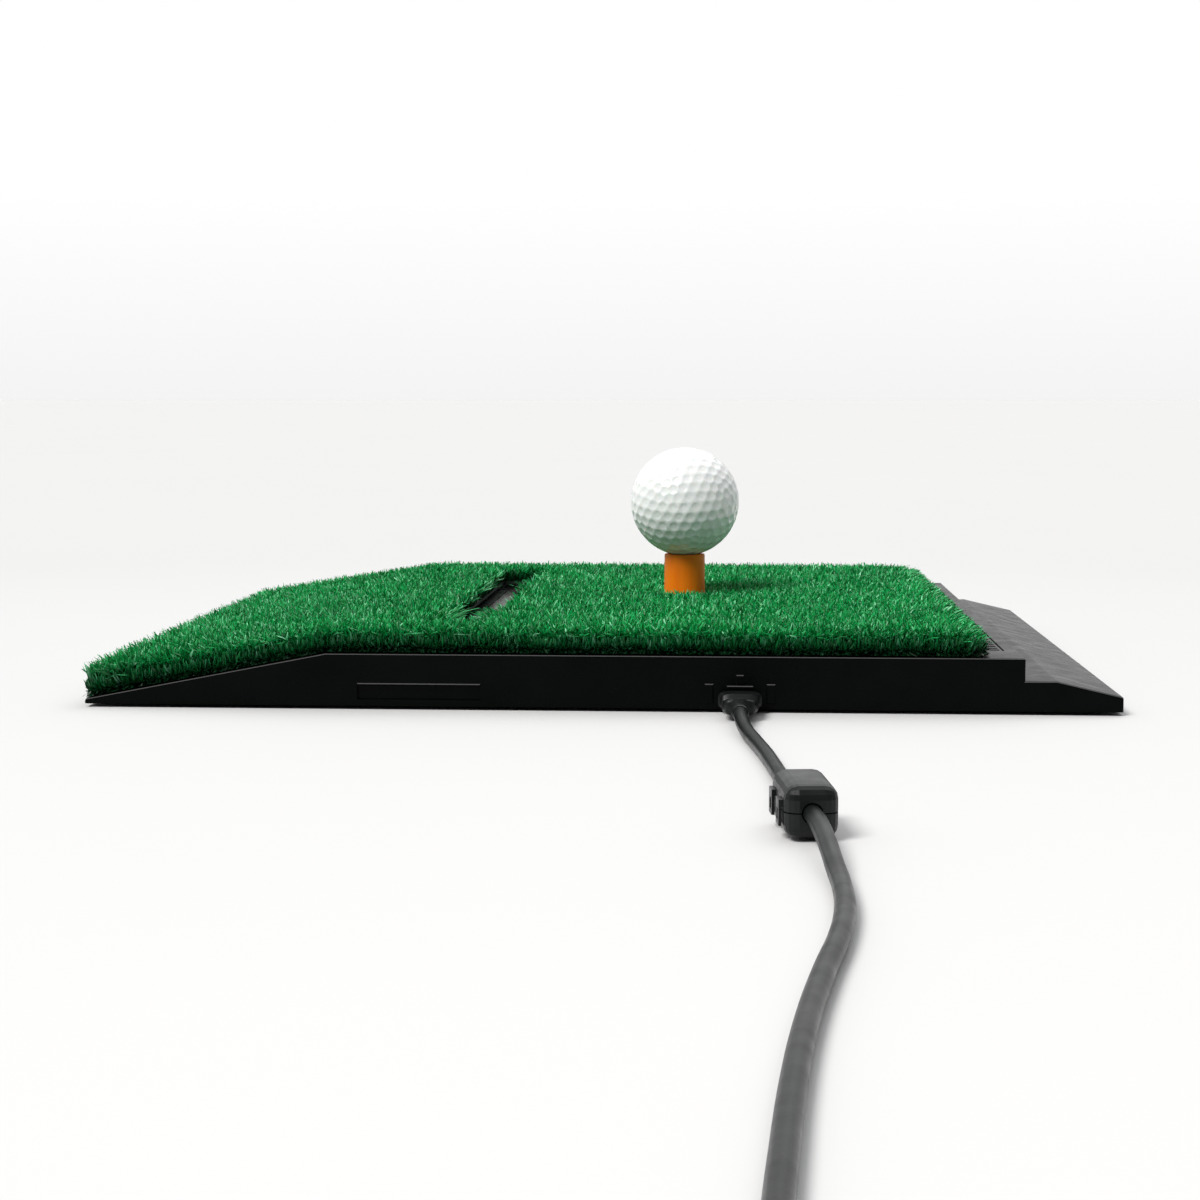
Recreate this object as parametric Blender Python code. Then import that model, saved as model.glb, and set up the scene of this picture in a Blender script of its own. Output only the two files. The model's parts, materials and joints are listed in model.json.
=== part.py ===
"""Golf swing-sensor mat: a ramped plastic housing under a strip of turf, with an infrared sensor bar
behind the ball, a tubular rubber tee, a golf ball and a USB lead with a snap-on ferrite.

Frame: origin on the floor under the middle of the housing, +X along the target line (the club comes
from -X), +Y away from the side that the lead leaves, +Z up. All sizes are in metres.
"""
import math

import bmesh
import bpy
from mathutils import Matrix, Vector

# ---------------------------------------------------------------- driving dimensions
GAP = 0.0003                # clearance between pieces that touch

# housing
PAD_LENGTH = 0.3450         # along X
PAD_WIDTH = 0.2876          # along Y
HOUSING_BOTTOM = 0.0010     # the feet lift the housing this far
DECK_Z = 0.0185             # flat deck above the floor
WALL = 0.0022
RAMP_TOP_X = -0.0906        # where the turfed ramp meets the deck
DECK_END_X = 0.1406         # where the deck steps down
LEDGE_Z = 0.0110            # ledge beyond the deck
LEDGE_END_X = 0.1510
LEFT_LIP_Z = 0.0026
RIGHT_LIP_Z = 0.0060
EDGE_ROUND = 0.0007         # rounding of the housing's outer edges
CEILING_Z = DECK_Z - WALL
HALF_LENGTH = PAD_LENGTH / 2
HALF_WIDTH = PAD_WIDTH / 2
RAMP_SLOPE = (DECK_Z - LEFT_LIP_Z) / (RAMP_TOP_X + HALF_LENGTH)
NOSE_SLOPE = (LEDGE_Z - RIGHT_LIP_Z) / (HALF_LENGTH - LEDGE_END_X)

# near wall: port notch, the raised tab and plate above it, raised clips, and the finger recess
# with a raised lip along its top
SIDE_RAISE = 0.0005
RAISED_CHAMFER = 0.0003
NOTCH_HALF_WIDTH = 0.0044
NOTCH_TOP_Z = 0.0067
NOTCH_INNER_Y = -0.1405
PLATE_Z = (0.0076, 0.0088)
TAB_HALF_WIDTH = 0.0013
TAB_Z = (0.0091, 0.0124)
CLIP_OFFSET = 0.0102
CLIP_HALF_WIDTH = 0.0015
CLIP_Z = (0.0030, 0.0094)
FINGER_RECESS_X = (-0.0800, -0.0386)
FINGER_RECESS_Z = (0.0032, 0.0078)
FINGER_RECESS_DEPTH = 0.0012
LIP_Z = (0.0079, 0.0087)

# base cover, its screws and feet
BASE_THICKNESS = 0.0020
BASE_TOP = HOUSING_BOTTOM + BASE_THICKNESS
CAVITY_LEFT_X = -0.1574     # where the ceiling of the ramp meets the base cover
CAVITY_RIGHT_X = HALF_LENGTH - WALL
BOSS_RADIUS = 0.0036
SMALL_BOSS_RADIUS = 0.0030
BASE_PILOT_RADIUS = 0.0016  # holes that the screws drive into
BOARD_PILOT_RADIUS = 0.0013
BOSS_OVERLAP = 0.0007       # how far bosses and ribs run into the ceiling
RIB_HALF_Y = 0.0560         # two stiffening ribs under the deck
RIB_THICKNESS = 0.0018
BASE_SCREW_SPOTS = [(x, y) for x in (-0.084, -0.006, 0.126) for y in (-0.128, 0.128)]
FOOT_RADIUS = 0.0080
FOOT_HEIGHT = 0.0017
FOOT_SPOTS = [(x, y) for x in (-0.130, 0.150) for y in (-0.120, 0.120)]

# grooves in the bare strip of the deck beside the turf
MARK_DEPTH = 0.0005
MARK_LINE_X = (0.1355, 0.1363)
MARK_LINE_SPANS = ((-0.1230, -0.0050), (0.0330, 0.0480))
TICK_X = (0.1278, 0.1348)
TICK_COUNT = 8
TICK_START_Y = -0.1215
TICK_PITCH = 0.0052
TICK_WIDTH = 0.0026

# turf
RIM = 0.0045                # bare rim of the housing along both long sides
TURF_LEFT_X = -0.1710
TURF_RIGHT_X = 0.1250
STRIP_THICKNESS = 0.0006    # hook strips that hold the turf
STRIP_SPANS = ((-0.162, -0.137), (-0.087, -0.066), (-0.030, -0.005), (0.097, 0.122))
BACKING_LIFT = STRIP_THICKNESS + 2 * GAP
BACKING_THICKNESS = 0.0012
PILE_LIFT = BACKING_LIFT + BACKING_THICKNESS + GAP
PILE_TOP_Z = 0.0278
PILE_LEFT_TOP_Z = 0.0150

# sensor bar behind the ball
SENSOR_X = -0.0485
TURF_SLOT_WIDTH = 0.0190
TURF_SLOT_HALF = 0.1120     # half its length along Y
WINDOW_WIDTH = 0.0120
WINDOW_HALF = 0.1040
WINDOW_FLANGE = 0.0030
SENSOR_BOARD_Z = 0.0092
SENSOR_COUNT = 8
SENSOR_PITCH = 0.0260
SENSOR_OFFSET = 0.0032      # emitters on one side of the centre line, receivers on the other
BOARD_THICKNESS = 0.0016

# tee and ball
TEE_X = 0.0258
TEE_Y = 0.0015
BALL_RADIUS = 0.021335
BALL_Z = 0.0624
TEE_BOTTOM_Z = 0.0053
TEE_TOP_Z = 0.0418
TEE_BASE_RADIUS = 0.00825
TEE_TOP_RADIUS = 0.00795
TEE_BORE = 0.0054
TEE_CUP = 0.0066
SOCKET_RADIUS = 0.0122
SOCKET_BORE = TEE_BASE_RADIUS + 0.0004
TURF_TEE_HOLE = 0.0095

# main board and USB port
PORT_X = 0.0474
PORT_Z = 0.0044
MAIN_BOARD_LOW = (0.0080, -0.1360, 0.0068)
MAIN_BOARD_HIGH = (0.0880, -0.0760, 0.0084)
RIBBON_LOW_Y = -0.1030
RIBBON_HIGH_Y = -0.0930

# lead
CABLE_RADIUS = 0.00225
PLUG_FRONT_Y = -HALF_WIDTH - GAP
PLUG_SIZE = (0.0144, 0.0200, 0.0058)
RELIEF_LENGTH = 0.0120
RELIEF_RADIUS = 0.0034      # at the plug; it tapers towards the cable
RELIEF_END_RADIUS = 0.0026
FERRITE_CENTRE = Vector((0.0623, -0.3380, 0.0068))
FERRITE_TURN = math.radians(6)
FERRITE_SIZE = (0.0130, 0.0270, 0.0130)
FERRITE_ROUND = 0.0034
CORE_RADIUS = 0.0048
CORE_LENGTH = 0.0200
CABLE_BORE = CABLE_RADIUS + 0.00035
CUT_REACH = 0.0150          # half the size of the block that cuts each core in half

# coil of spare lead
COIL_CENTRE = Vector((0.0111, -0.6690, 0.0))
COIL_PITCH = 0.0047
COIL_COLUMNS = 4
COIL_INNER = 0.01895        # radius of the innermost turn
COIL_BOTTOM = 0.0012
COIL_TURN_OUT = COIL_INNER + (COIL_COLUMNS - 1) * COIL_PITCH
COIL_HEIGHT = (COIL_COLUMNS - 1) * COIL_PITCH + 2 * CABLE_RADIUS
RING_OUTER = COIL_TURN_OUT + CABLE_RADIUS
RING_INNER = COIL_INNER - CABLE_RADIUS
FLOOR_CABLE_Z = CABLE_RADIUS + 0.00005

# the lead's route on the floor, from the plug's strain relief to the coil
CABLE_ROUTE = (
    (0.0474, -0.1769, 0.0044),
    (0.0477, -0.1850, 0.0040),
    (0.0490, -0.1980, 0.0028),
    (0.0514, -0.2150, FLOOR_CABLE_Z),
    (0.0545, -0.2400, FLOOR_CABLE_Z),
    (0.0569, -0.2650, FLOOR_CABLE_Z),
    (0.0583, -0.2850, 0.0030),
    (0.0592, -0.3010, 0.0053),
    (0.0600, -0.3161, 0.0067),
    (0.0609, -0.3246, 0.0068),
    (0.0623, -0.3380, 0.0068),
    (0.0637, -0.3514, 0.0068),
    (0.0646, -0.3599, 0.0067),
    (0.0660, -0.3750, 0.0052),
    (0.0671, -0.3900, 0.0030),
    (0.0678, -0.4060, FLOOR_CABLE_Z),
    (0.0676, -0.4230, FLOOR_CABLE_Z),
    (0.0655, -0.4460, FLOOR_CABLE_Z),
    (0.0612, -0.4740, FLOOR_CABLE_Z),
    (0.0572, -0.5040, FLOOR_CABLE_Z),
    (0.0543, -0.5340, FLOOR_CABLE_Z),
    (0.0523, -0.5620, FLOOR_CABLE_Z),
    (0.0505, -0.5920, FLOOR_CABLE_Z),
    (0.0494, -0.6250, 0.0026),
    (0.04895, -0.6480, 0.0032),
    (0.04895, -0.6690, 0.00345),
)
# from the top of the coil down to the USB-A plug beside it
TAIL_ROUTE = (
    (0.0111, -0.70685, 0.01755),
    (0.0000, -0.7070, 0.0170),
    (-0.0130, -0.7070, 0.0140),
    (-0.0260, -0.7066, 0.0093),
    (-0.0380, -0.7060, 0.0058),
    (-0.0480, -0.7060, 0.0045),
    (-0.0580, -0.7060, 0.0042),
)
LEAD_PIECES = ("mini_plug", "usb_cable", "ferrite_lower", "cable_", "coil_tie", "usb_a")
USB_A_AXIS_Y = -0.7060
USB_A_AXIS_Z = 0.0042


# ---------------------------------------------------------------- tools
def clear_scene():
    for obj in list(bpy.data.objects):
        bpy.data.objects.remove(obj, do_unlink=True)


def make_material(name, color, roughness, metallic=0.0):
    material = bpy.data.materials.new(name)
    material.use_nodes = True
    shader = material.node_tree.nodes["Principled BSDF"]
    shader.inputs["Base Color"].default_value = (*color, 1.0)
    shader.inputs["Roughness"].default_value = roughness
    shader.inputs["Metallic"].default_value = metallic
    material.diffuse_color = (*color, 1.0)
    return material


def add_box(bm, low, high):
    """A box between two opposite corners."""
    low = Vector(low)
    high = Vector(high)
    size = high - low
    matrix = Matrix.Translation((low + high) / 2) @ Matrix.Diagonal((*size, 1.0))
    return bmesh.ops.create_cube(bm, size=1.0, matrix=matrix)["verts"]


def add_prism(bm, outline, low_y, high_y):
    """An outline of (x, z) points, extruded along Y."""
    start = [bm.verts.new((x, low_y, z)) for x, z in outline]
    face = bm.faces.new(start)
    extruded = bmesh.ops.extrude_face_region(bm, geom=[face])["geom"]
    end = [item for item in extruded if isinstance(item, bmesh.types.BMVert)]
    bmesh.ops.translate(bm, verts=end, vec=(0.0, high_y - low_y, 0.0))


def add_cylinder(bm, centre, radius, length, segments=16, axis="Z", top_radius=None):
    """A cylinder or cone about an axis through its centre; top_radius is at +Z, -Y or +X."""
    turns = {"Z": Matrix.Identity(4), "Y": Matrix.Rotation(math.pi / 2, 4, "X"),
             "X": Matrix.Rotation(math.pi / 2, 4, "Y")}
    bmesh.ops.create_cone(bm, cap_ends=True, segments=segments, radius1=radius,
                          radius2=radius if top_radius is None else top_radius, depth=length,
                          matrix=Matrix.Translation(centre) @ turns[axis])


def add_turned(bm, profile, centre, segments=24, closed=False):
    """A profile of (radius, z) points turned about a vertical axis through centre."""
    verts = [bm.verts.new((centre[0] + r, centre[1], centre[2] + z)) for r, z in profile]
    edges = [bm.edges.new(pair) for pair in zip(verts, verts[1:])]
    if closed:
        edges.append(bm.edges.new((verts[-1], verts[0])))
    bmesh.ops.spin(bm, geom=verts + edges, cent=centre, axis=(0, 0, 1),
                   angle=2 * math.pi, steps=segments, use_merge=True)
    bmesh.ops.remove_doubles(bm, verts=bm.verts[:], dist=1e-6)


def make_object(name, bm, material, origin=(0, 0, 0), turn=0.0, smooth=False):
    """Turns a bmesh into an object; the mesh is given in world space when turn is 0."""
    bmesh.ops.recalc_face_normals(bm, faces=bm.faces[:])
    if turn == 0.0:
        bmesh.ops.translate(bm, verts=bm.verts[:], vec=-Vector(origin))
    mesh = bpy.data.meshes.new(name)
    bm.to_mesh(mesh)
    bm.free()
    mesh.materials.append(material)
    if smooth:
        mesh.shade_smooth()
        mesh.set_sharp_from_angle(angle=math.radians(35))
    obj = bpy.data.objects.new(name, mesh)
    obj.location = origin
    obj.rotation_euler = (0, 0, turn)
    bpy.context.collection.objects.link(obj)
    return obj


def combine(target, bm, label, operation="DIFFERENCE"):
    """Adds a hidden tool body to target and combines it with an exact Boolean."""
    bmesh.ops.recalc_face_normals(bm, faces=bm.faces[:])
    mesh = bpy.data.meshes.new(label)
    bm.to_mesh(mesh)
    bm.free()
    tool = bpy.data.objects.new(label, mesh)
    tool.matrix_world = Matrix.Translation(target.location) @ Matrix.Rotation(
        target.rotation_euler.z, 4, "Z")
    tool.hide_render = True
    tool.display_type = "WIRE"
    bpy.context.collection.objects.link(tool)
    modifier = target.modifiers.new(label, "BOOLEAN")
    modifier.operation = operation
    modifier.solver = "EXACT"
    modifier.object = tool


# ---------------------------------------------------------------- shapes that several pieces share
def deck_line(x):
    """Height of the housing's turfed top at x."""
    return DECK_Z + min(0.0, x - RAMP_TOP_X) * RAMP_SLOPE


def turf_layer(bm, low_x, high_x, low_lift, high_lift, half_width):
    """A sheet that follows the ramp and the deck, between two lifts above them."""
    stations = [low_x, high_x]
    if low_x < RAMP_TOP_X < high_x:
        stations.insert(1, RAMP_TOP_X)
    under = [(x, deck_line(x) + low_lift) for x in stations]
    over = [(x, deck_line(x) + high_lift) for x in reversed(stations)]
    add_prism(bm, under + over, -half_width, half_width)


def smooth_points(route, spacing):
    """Evenly spaced points on a Catmull-Rom curve through the route."""
    knots = [Vector(p) for p in route]
    knots = [2 * knots[0] - knots[1]] + knots + [2 * knots[-1] - knots[-2]]
    fine = []
    for before, start, end, after in zip(knots, knots[1:], knots[2:], knots[3:]):
        for step in range(20):
            t = step / 20
            fine.append(0.5 * (2 * start + (end - before) * t
                               + (2 * before - 5 * start + 4 * end - after) * t * t
                               + (3 * start - before - 3 * end + after) * t ** 3))
    fine.append(knots[-2])
    lengths = [0.0]
    for a, b in zip(fine, fine[1:]):
        lengths.append(lengths[-1] + (b - a).length)
    count = max(2, round(lengths[-1] / spacing))
    points = []
    index = 0
    for step in range(count + 1):
        wanted = lengths[-1] * step / count
        while index < len(fine) - 2 and lengths[index + 1] < wanted:
            index += 1
        share = (wanted - lengths[index]) / (lengths[index + 1] - lengths[index])
        points.append(fine[index].lerp(fine[index + 1], min(1.0, share)))
    return points


def make_tube(name, route, radius, material):
    """A round tube on a poly spline, as a curve object with filled caps."""
    points = smooth_points(route, 2.5 * 2 * radius)
    curve = bpy.data.curves.new(name, "CURVE")
    curve.dimensions = "3D"
    spline = curve.splines.new("POLY")
    spline.points.add(len(points) - 1)
    for slot, point in zip(spline.points, points):
        slot.co = (*point, 1.0)
    curve.bevel_depth = radius
    curve.bevel_resolution = 2
    curve.use_fill_caps = True
    curve.materials.append(material)
    obj = bpy.data.objects.new(name, curve)
    bpy.context.collection.objects.link(obj)
    return obj


def make_screw(name, seat, head_radius, head_height, shank_radius, shank_length, material):
    """A screw driven upwards, with its head below."""
    profile = ((0.0, 0.0), (head_radius, 0.0), (head_radius, head_height),
               (shank_radius, head_height), (shank_radius, head_height + shank_length),
               (0.0, head_height + shank_length))
    bm = bmesh.new()
    add_turned(bm, profile, seat, segments=10)
    make_object(name, bm, material, smooth=True)


# ---------------------------------------------------------------- housing
def is_rounded_edge(edge):
    """True for the outline's edges on both sides, the upright corners and the three convex lips."""
    first, second = (vert.co for vert in edge.verts)
    if abs(first.y - second.y) > 0.001:
        lips = ((-HALF_LENGTH, LEFT_LIP_Z), (DECK_END_X, DECK_Z), (HALF_LENGTH, RIGHT_LIP_Z))
        return any(abs(first.x - x) + abs(first.z - z) < 1e-5 for x, z in lips)
    return max(first.z, second.z) > HOUSING_BOTTOM + 1e-5


def make_upper_housing(material):
    outline = (
        (-HALF_LENGTH, HOUSING_BOTTOM), (HALF_LENGTH, HOUSING_BOTTOM), (HALF_LENGTH, RIGHT_LIP_Z),
        (LEDGE_END_X, LEDGE_Z), (DECK_END_X, LEDGE_Z), (DECK_END_X, DECK_Z),
        (RAMP_TOP_X, DECK_Z), (-HALF_LENGTH, LEFT_LIP_Z),
    )
    bm = bmesh.new()
    add_prism(bm, outline, -HALF_WIDTH, HALF_WIDTH)
    rounded = [edge for edge in bm.edges if is_rounded_edge(edge)]
    bmesh.ops.bevel(bm, geom=rounded, offset=EDGE_ROUND, segments=3, profile=0.5, affect="EDGES")
    housing = make_object("upper_housing", bm, material)

    below = HOUSING_BOTTOM - 0.002
    inner_step_x = DECK_END_X - WALL
    nose_ceiling = LEDGE_Z - WALL - (CAVITY_RIGHT_X - LEDGE_END_X) * NOSE_SLOPE
    cavity = (
        (CAVITY_LEFT_X, below), (CAVITY_RIGHT_X, below), (CAVITY_RIGHT_X, nose_ceiling),
        (LEDGE_END_X, LEDGE_Z - WALL), (inner_step_x, LEDGE_Z - WALL),
        (inner_step_x, CEILING_Z), (RAMP_TOP_X, CEILING_Z),
        (CAVITY_LEFT_X, BASE_TOP + GAP),
    )
    bm = bmesh.new()
    add_prism(bm, cavity, -HALF_WIDTH + WALL, HALF_WIDTH - WALL)
    combine(housing, bm, "housing_cavity")

    boss_top = CEILING_Z + BOSS_OVERLAP
    bm = bmesh.new()
    for x, y in BASE_SCREW_SPOTS:
        low = BASE_TOP + GAP
        add_cylinder(bm, (x, y, (low + boss_top) / 2), BOSS_RADIUS, boss_top - low, 14)
    for x, y in board_screw_spots():
        low = MAIN_BOARD_HIGH[2] + GAP
        add_cylinder(bm, (x, y, (low + boss_top) / 2), SMALL_BOSS_RADIUS, boss_top - low, 12)
    for x, y in sensor_screw_spots():
        low = SENSOR_BOARD_Z + BOARD_THICKNESS + GAP
        add_cylinder(bm, (x, y, (low + boss_top) / 2), SMALL_BOSS_RADIUS, boss_top - low, 12)
    for y in (-RIB_HALF_Y, RIB_HALF_Y):
        add_box(bm, (-0.0320, y - RIB_THICKNESS / 2, 0.0080), (0.1360, y + RIB_THICKNESS / 2, boss_top))
    combine(housing, bm, "housing_bosses", "UNION")

    bm = bmesh.new()
    add_box(bm, (SENSOR_X - WINDOW_WIDTH / 2, -WINDOW_HALF, CEILING_Z - 0.001),
            (SENSOR_X + WINDOW_WIDTH / 2, WINDOW_HALF, DECK_Z + 0.001))
    add_cylinder(bm, (TEE_X, TEE_Y, DECK_Z), SOCKET_RADIUS + GAP, 0.012, 24)
    for x, y in BASE_SCREW_SPOTS:
        add_cylinder(bm, (x, y, 0.0065), BASE_PILOT_RADIUS, 0.011, 10)
    for x, y in board_screw_spots():
        add_cylinder(bm, (x, y, 0.0110), BOARD_PILOT_RADIUS, 0.006, 10)
    for x, y in sensor_screw_spots():
        add_cylinder(bm, (x, y, 0.0125), BOARD_PILOT_RADIUS, 0.004, 10)
    combine(housing, bm, "housing_holes")

    raise_side_details(housing)
    cut_side_openings(housing)
    cut_deck_marks(housing)


def raise_side_details(housing):
    """The tab, plate and clips round the port, and the lip over the finger recess."""
    spans = [(PORT_X - TAB_HALF_WIDTH, PORT_X + TAB_HALF_WIDTH, TAB_Z),
             (PORT_X - NOTCH_HALF_WIDTH, PORT_X + NOTCH_HALF_WIDTH, PLATE_Z), (*FINGER_RECESS_X, LIP_Z)]
    for middle in (PORT_X - CLIP_OFFSET, PORT_X + CLIP_OFFSET):
        spans.append((middle - CLIP_HALF_WIDTH, middle + CLIP_HALF_WIDTH, CLIP_Z))
    front = -HALF_WIDTH - SIDE_RAISE
    bm = bmesh.new()
    for low_x, high_x, (low_z, high_z) in spans:
        add_box(bm, (low_x, front, low_z), (high_x, -HALF_WIDTH + WALL / 2, high_z))
    rims = [edge for edge in bm.edges if max(vert.co.y for vert in edge.verts) < -HALF_WIDTH]
    bmesh.ops.bevel(bm, geom=rims, offset=RAISED_CHAMFER, segments=1, profile=0.5, affect="EDGES")
    combine(housing, bm, "side_raised", "UNION")


def cut_side_openings(housing):
    """The port in the near wall and the long finger recess."""
    outside = -HALF_WIDTH - 0.001
    bm = bmesh.new()
    add_box(bm, (PORT_X - NOTCH_HALF_WIDTH, outside, 0.0),
            (PORT_X + NOTCH_HALF_WIDTH, NOTCH_INNER_Y, NOTCH_TOP_Z))
    add_box(bm, (FINGER_RECESS_X[0], outside, FINGER_RECESS_Z[0]),
            (FINGER_RECESS_X[1], -HALF_WIDTH + FINGER_RECESS_DEPTH, FINGER_RECESS_Z[1]))
    combine(housing, bm, "side_openings")


def cut_deck_marks(housing):
    """The grooves in the bare strip of the deck, beside the turf."""
    low_z = DECK_Z - MARK_DEPTH
    high_z = DECK_Z + 0.001
    bm = bmesh.new()
    for low_y, high_y in MARK_LINE_SPANS:
        add_box(bm, (MARK_LINE_X[0], low_y, low_z), (MARK_LINE_X[1], high_y, high_z))
    for tick in range(TICK_COUNT):
        y = TICK_START_Y + tick * TICK_PITCH
        add_box(bm, (TICK_X[0], y, low_z), (TICK_X[1], y + TICK_WIDTH, high_z))
    combine(housing, bm, "deck_marks")


def make_base_cover(material):
    bm = bmesh.new()
    low = (CAVITY_LEFT_X + GAP, -HALF_WIDTH + WALL + GAP, HOUSING_BOTTOM)
    high = (CAVITY_RIGHT_X - GAP, HALF_WIDTH - WALL - GAP, BASE_TOP)
    add_box(bm, low, high)
    base = make_object("base_cover", bm, material)
    bm = bmesh.new()
    for x, y in BASE_SCREW_SPOTS:
        profile = ((0.0, -0.001), (0.0034, -0.001), (0.0034, 0.0012), (0.0017, 0.0012),
                   (0.0017, 0.0030), (0.0, 0.0030))
        add_turned(bm, profile, (x, y, HOUSING_BOTTOM), segments=12)
    for x, y in FOOT_SPOTS:
        add_cylinder(bm, (x, y, HOUSING_BOTTOM), FOOT_RADIUS + GAP, 0.0020, 20)
    add_box(bm, (PORT_X - 0.0060, -0.1440, 0.0020), (PORT_X + 0.0060, -0.1310, 0.0050))
    combine(base, bm, "base_cuts")


def make_base_screws(material):
    for number, spot in enumerate(BASE_SCREW_SPOTS, start=1):
        make_screw(f"base_screw_{number}", (*spot, HOUSING_BOTTOM + 0.0001), 0.0029, 0.0008,
                   0.0013, 0.0095, material)


def make_feet(material):
    for number, (x, y) in enumerate(FOOT_SPOTS, start=1):
        bm = bmesh.new()
        add_cylinder(bm, (x, y, FOOT_HEIGHT / 2), FOOT_RADIUS, FOOT_HEIGHT, 20)
        make_object(f"rubber_foot_{number}", bm, material, smooth=True)


# ---------------------------------------------------------------- turf
def make_hook_strips(material):
    for number, (low_x, high_x) in enumerate(STRIP_SPANS, start=1):
        bm = bmesh.new()
        turf_layer(bm, low_x, high_x, GAP, GAP + STRIP_THICKNESS, 0.130)
        make_object(f"hook_strip_{number}", bm, material)


def cut_turf_openings(turf, label):
    bm = bmesh.new()
    add_box(bm, (SENSOR_X - TURF_SLOT_WIDTH / 2, -TURF_SLOT_HALF, 0.010),
            (SENSOR_X + TURF_SLOT_WIDTH / 2, TURF_SLOT_HALF, 0.040))
    add_cylinder(bm, (TEE_X, TEE_Y, 0.025), TURF_TEE_HOLE, 0.030, 20)
    combine(turf, bm, label)


def make_turf_backing(material):
    bm = bmesh.new()
    turf_layer(bm, TURF_LEFT_X, TURF_RIGHT_X, BACKING_LIFT, BACKING_LIFT + BACKING_THICKNESS,
               HALF_WIDTH - RIM)
    backing = make_object("turf_backing", bm, material)
    cut_turf_openings(backing, "backing_openings")


def make_turf_pile(material):
    bm = bmesh.new()
    outline = (
        (TURF_LEFT_X, deck_line(TURF_LEFT_X) + PILE_LIFT), (RAMP_TOP_X, DECK_Z + PILE_LIFT),
        (TURF_RIGHT_X, DECK_Z + PILE_LIFT), (TURF_RIGHT_X + 0.0015, PILE_TOP_Z - 0.002),
        (TURF_RIGHT_X, PILE_TOP_Z), (RAMP_TOP_X, PILE_TOP_Z), (TURF_LEFT_X, PILE_LEFT_TOP_Z),
        (TURF_LEFT_X - 0.0010, PILE_LEFT_TOP_Z - 0.004),
    )
    half = HALF_WIDTH - RIM + 0.0020
    add_prism(bm, outline, -half, half)
    pile = make_object("turf_pile", bm, material)
    cut_turf_openings(pile, "pile_openings")


# ---------------------------------------------------------------- sensor bar
def sensor_screw_spots():
    return [(SENSOR_X, side * 0.1130) for side in (-1, 1)]


def sensor_places(side):
    first = -SENSOR_PITCH * (SENSOR_COUNT - 1) / 2
    return [(SENSOR_X + side * SENSOR_OFFSET, first + i * SENSOR_PITCH)
            for i in range(SENSOR_COUNT)]


def make_sensor_window(material):
    """An infrared-clear bar, flush with the deck, with a flange that stays under it."""
    bm = bmesh.new()
    flange_top = CEILING_Z - GAP
    half_width = WINDOW_WIDTH / 2 - GAP
    half_length = WINDOW_HALF - GAP
    low = (SENSOR_X - half_width - WINDOW_FLANGE, -half_length - WINDOW_FLANGE, flange_top - 0.0012)
    high = (SENSOR_X + half_width + WINDOW_FLANGE, half_length + WINDOW_FLANGE, flange_top)
    add_box(bm, low, high)
    top = max(bm.faces, key=lambda face: face.calc_center_median().z)
    bmesh.ops.inset_region(bm, faces=[top], thickness=WINDOW_FLANGE, use_even_offset=True)
    top = max(bm.faces, key=lambda face: (round(face.calc_center_median().z, 6), face.calc_area()))
    raised = bmesh.ops.extrude_face_region(bm, geom=[top])["geom"]
    corners = [item for item in raised if isinstance(item, bmesh.types.BMVert)]
    bmesh.ops.translate(bm, verts=corners, vec=(0, 0, DECK_Z - 0.0002 - flange_top))
    bmesh.ops.delete(bm, geom=[top], context="FACES_ONLY")
    make_object("sensor_window", bm, material)


def make_sensor_board(material):
    bm = bmesh.new()
    add_box(bm, (SENSOR_X - 0.0085, -0.1180, SENSOR_BOARD_Z),
            (SENSOR_X + 0.0085, 0.1180, SENSOR_BOARD_Z + BOARD_THICKNESS))
    board = make_object("sensor_board", bm, material)
    bm = bmesh.new()
    for x, y in sensor_screw_spots():
        add_cylinder(bm, (x, y, SENSOR_BOARD_Z), BOARD_PILOT_RADIUS, 0.005, 10)
    combine(board, bm, "sensor_board_holes")


def make_sensors(name, side, material):
    """Eight round-nosed infrared parts on one moulded carrier, on the sensor board."""
    foot = SENSOR_BOARD_Z + BOARD_THICKNESS + GAP
    places = sensor_places(side)
    bm = bmesh.new()
    add_box(bm, (places[0][0] - 0.0022, places[0][1] - 0.0040, foot),
            (places[-1][0] + 0.0022, places[-1][1] + 0.0040, foot + 0.0008))
    row = make_object(name, bm, material)
    profile = ((0.0, 0.0004), (0.0015, 0.0004), (0.0015, 0.0022), (0.0009, 0.0030), (0.0, 0.0033))
    bm = bmesh.new()
    for x, y in places:
        add_turned(bm, profile, (x, y, foot), segments=8)
    combine(row, bm, f"{name}_domes", "UNION")


# ---------------------------------------------------------------- electronics
def board_screw_spots():
    inset = 0.0060
    return [(x, y) for x in (MAIN_BOARD_LOW[0] + inset, MAIN_BOARD_HIGH[0] - inset)
            for y in (MAIN_BOARD_LOW[1] + inset + 0.003, MAIN_BOARD_HIGH[1] - inset)]


def make_main_board(material):
    bm = bmesh.new()
    add_box(bm, MAIN_BOARD_LOW, MAIN_BOARD_HIGH)
    board = make_object("main_board", bm, material)
    bm = bmesh.new()
    for x, y in board_screw_spots():
        add_cylinder(bm, (x, y, MAIN_BOARD_LOW[2]), BOARD_PILOT_RADIUS, 0.006, 10)
    combine(board, bm, "main_board_holes")


def make_board_screws(material):
    head = 0.0012
    seats = [(*spot, MAIN_BOARD_LOW[2] - GAP - head) for spot in board_screw_spots()]
    seats += [(*spot, SENSOR_BOARD_Z - GAP - head) for spot in sensor_screw_spots()]
    for number, seat in enumerate(seats, start=1):
        make_screw(f"board_screw_{number}", seat, 0.0021, head, 0.0010, 0.0045, material)


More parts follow.
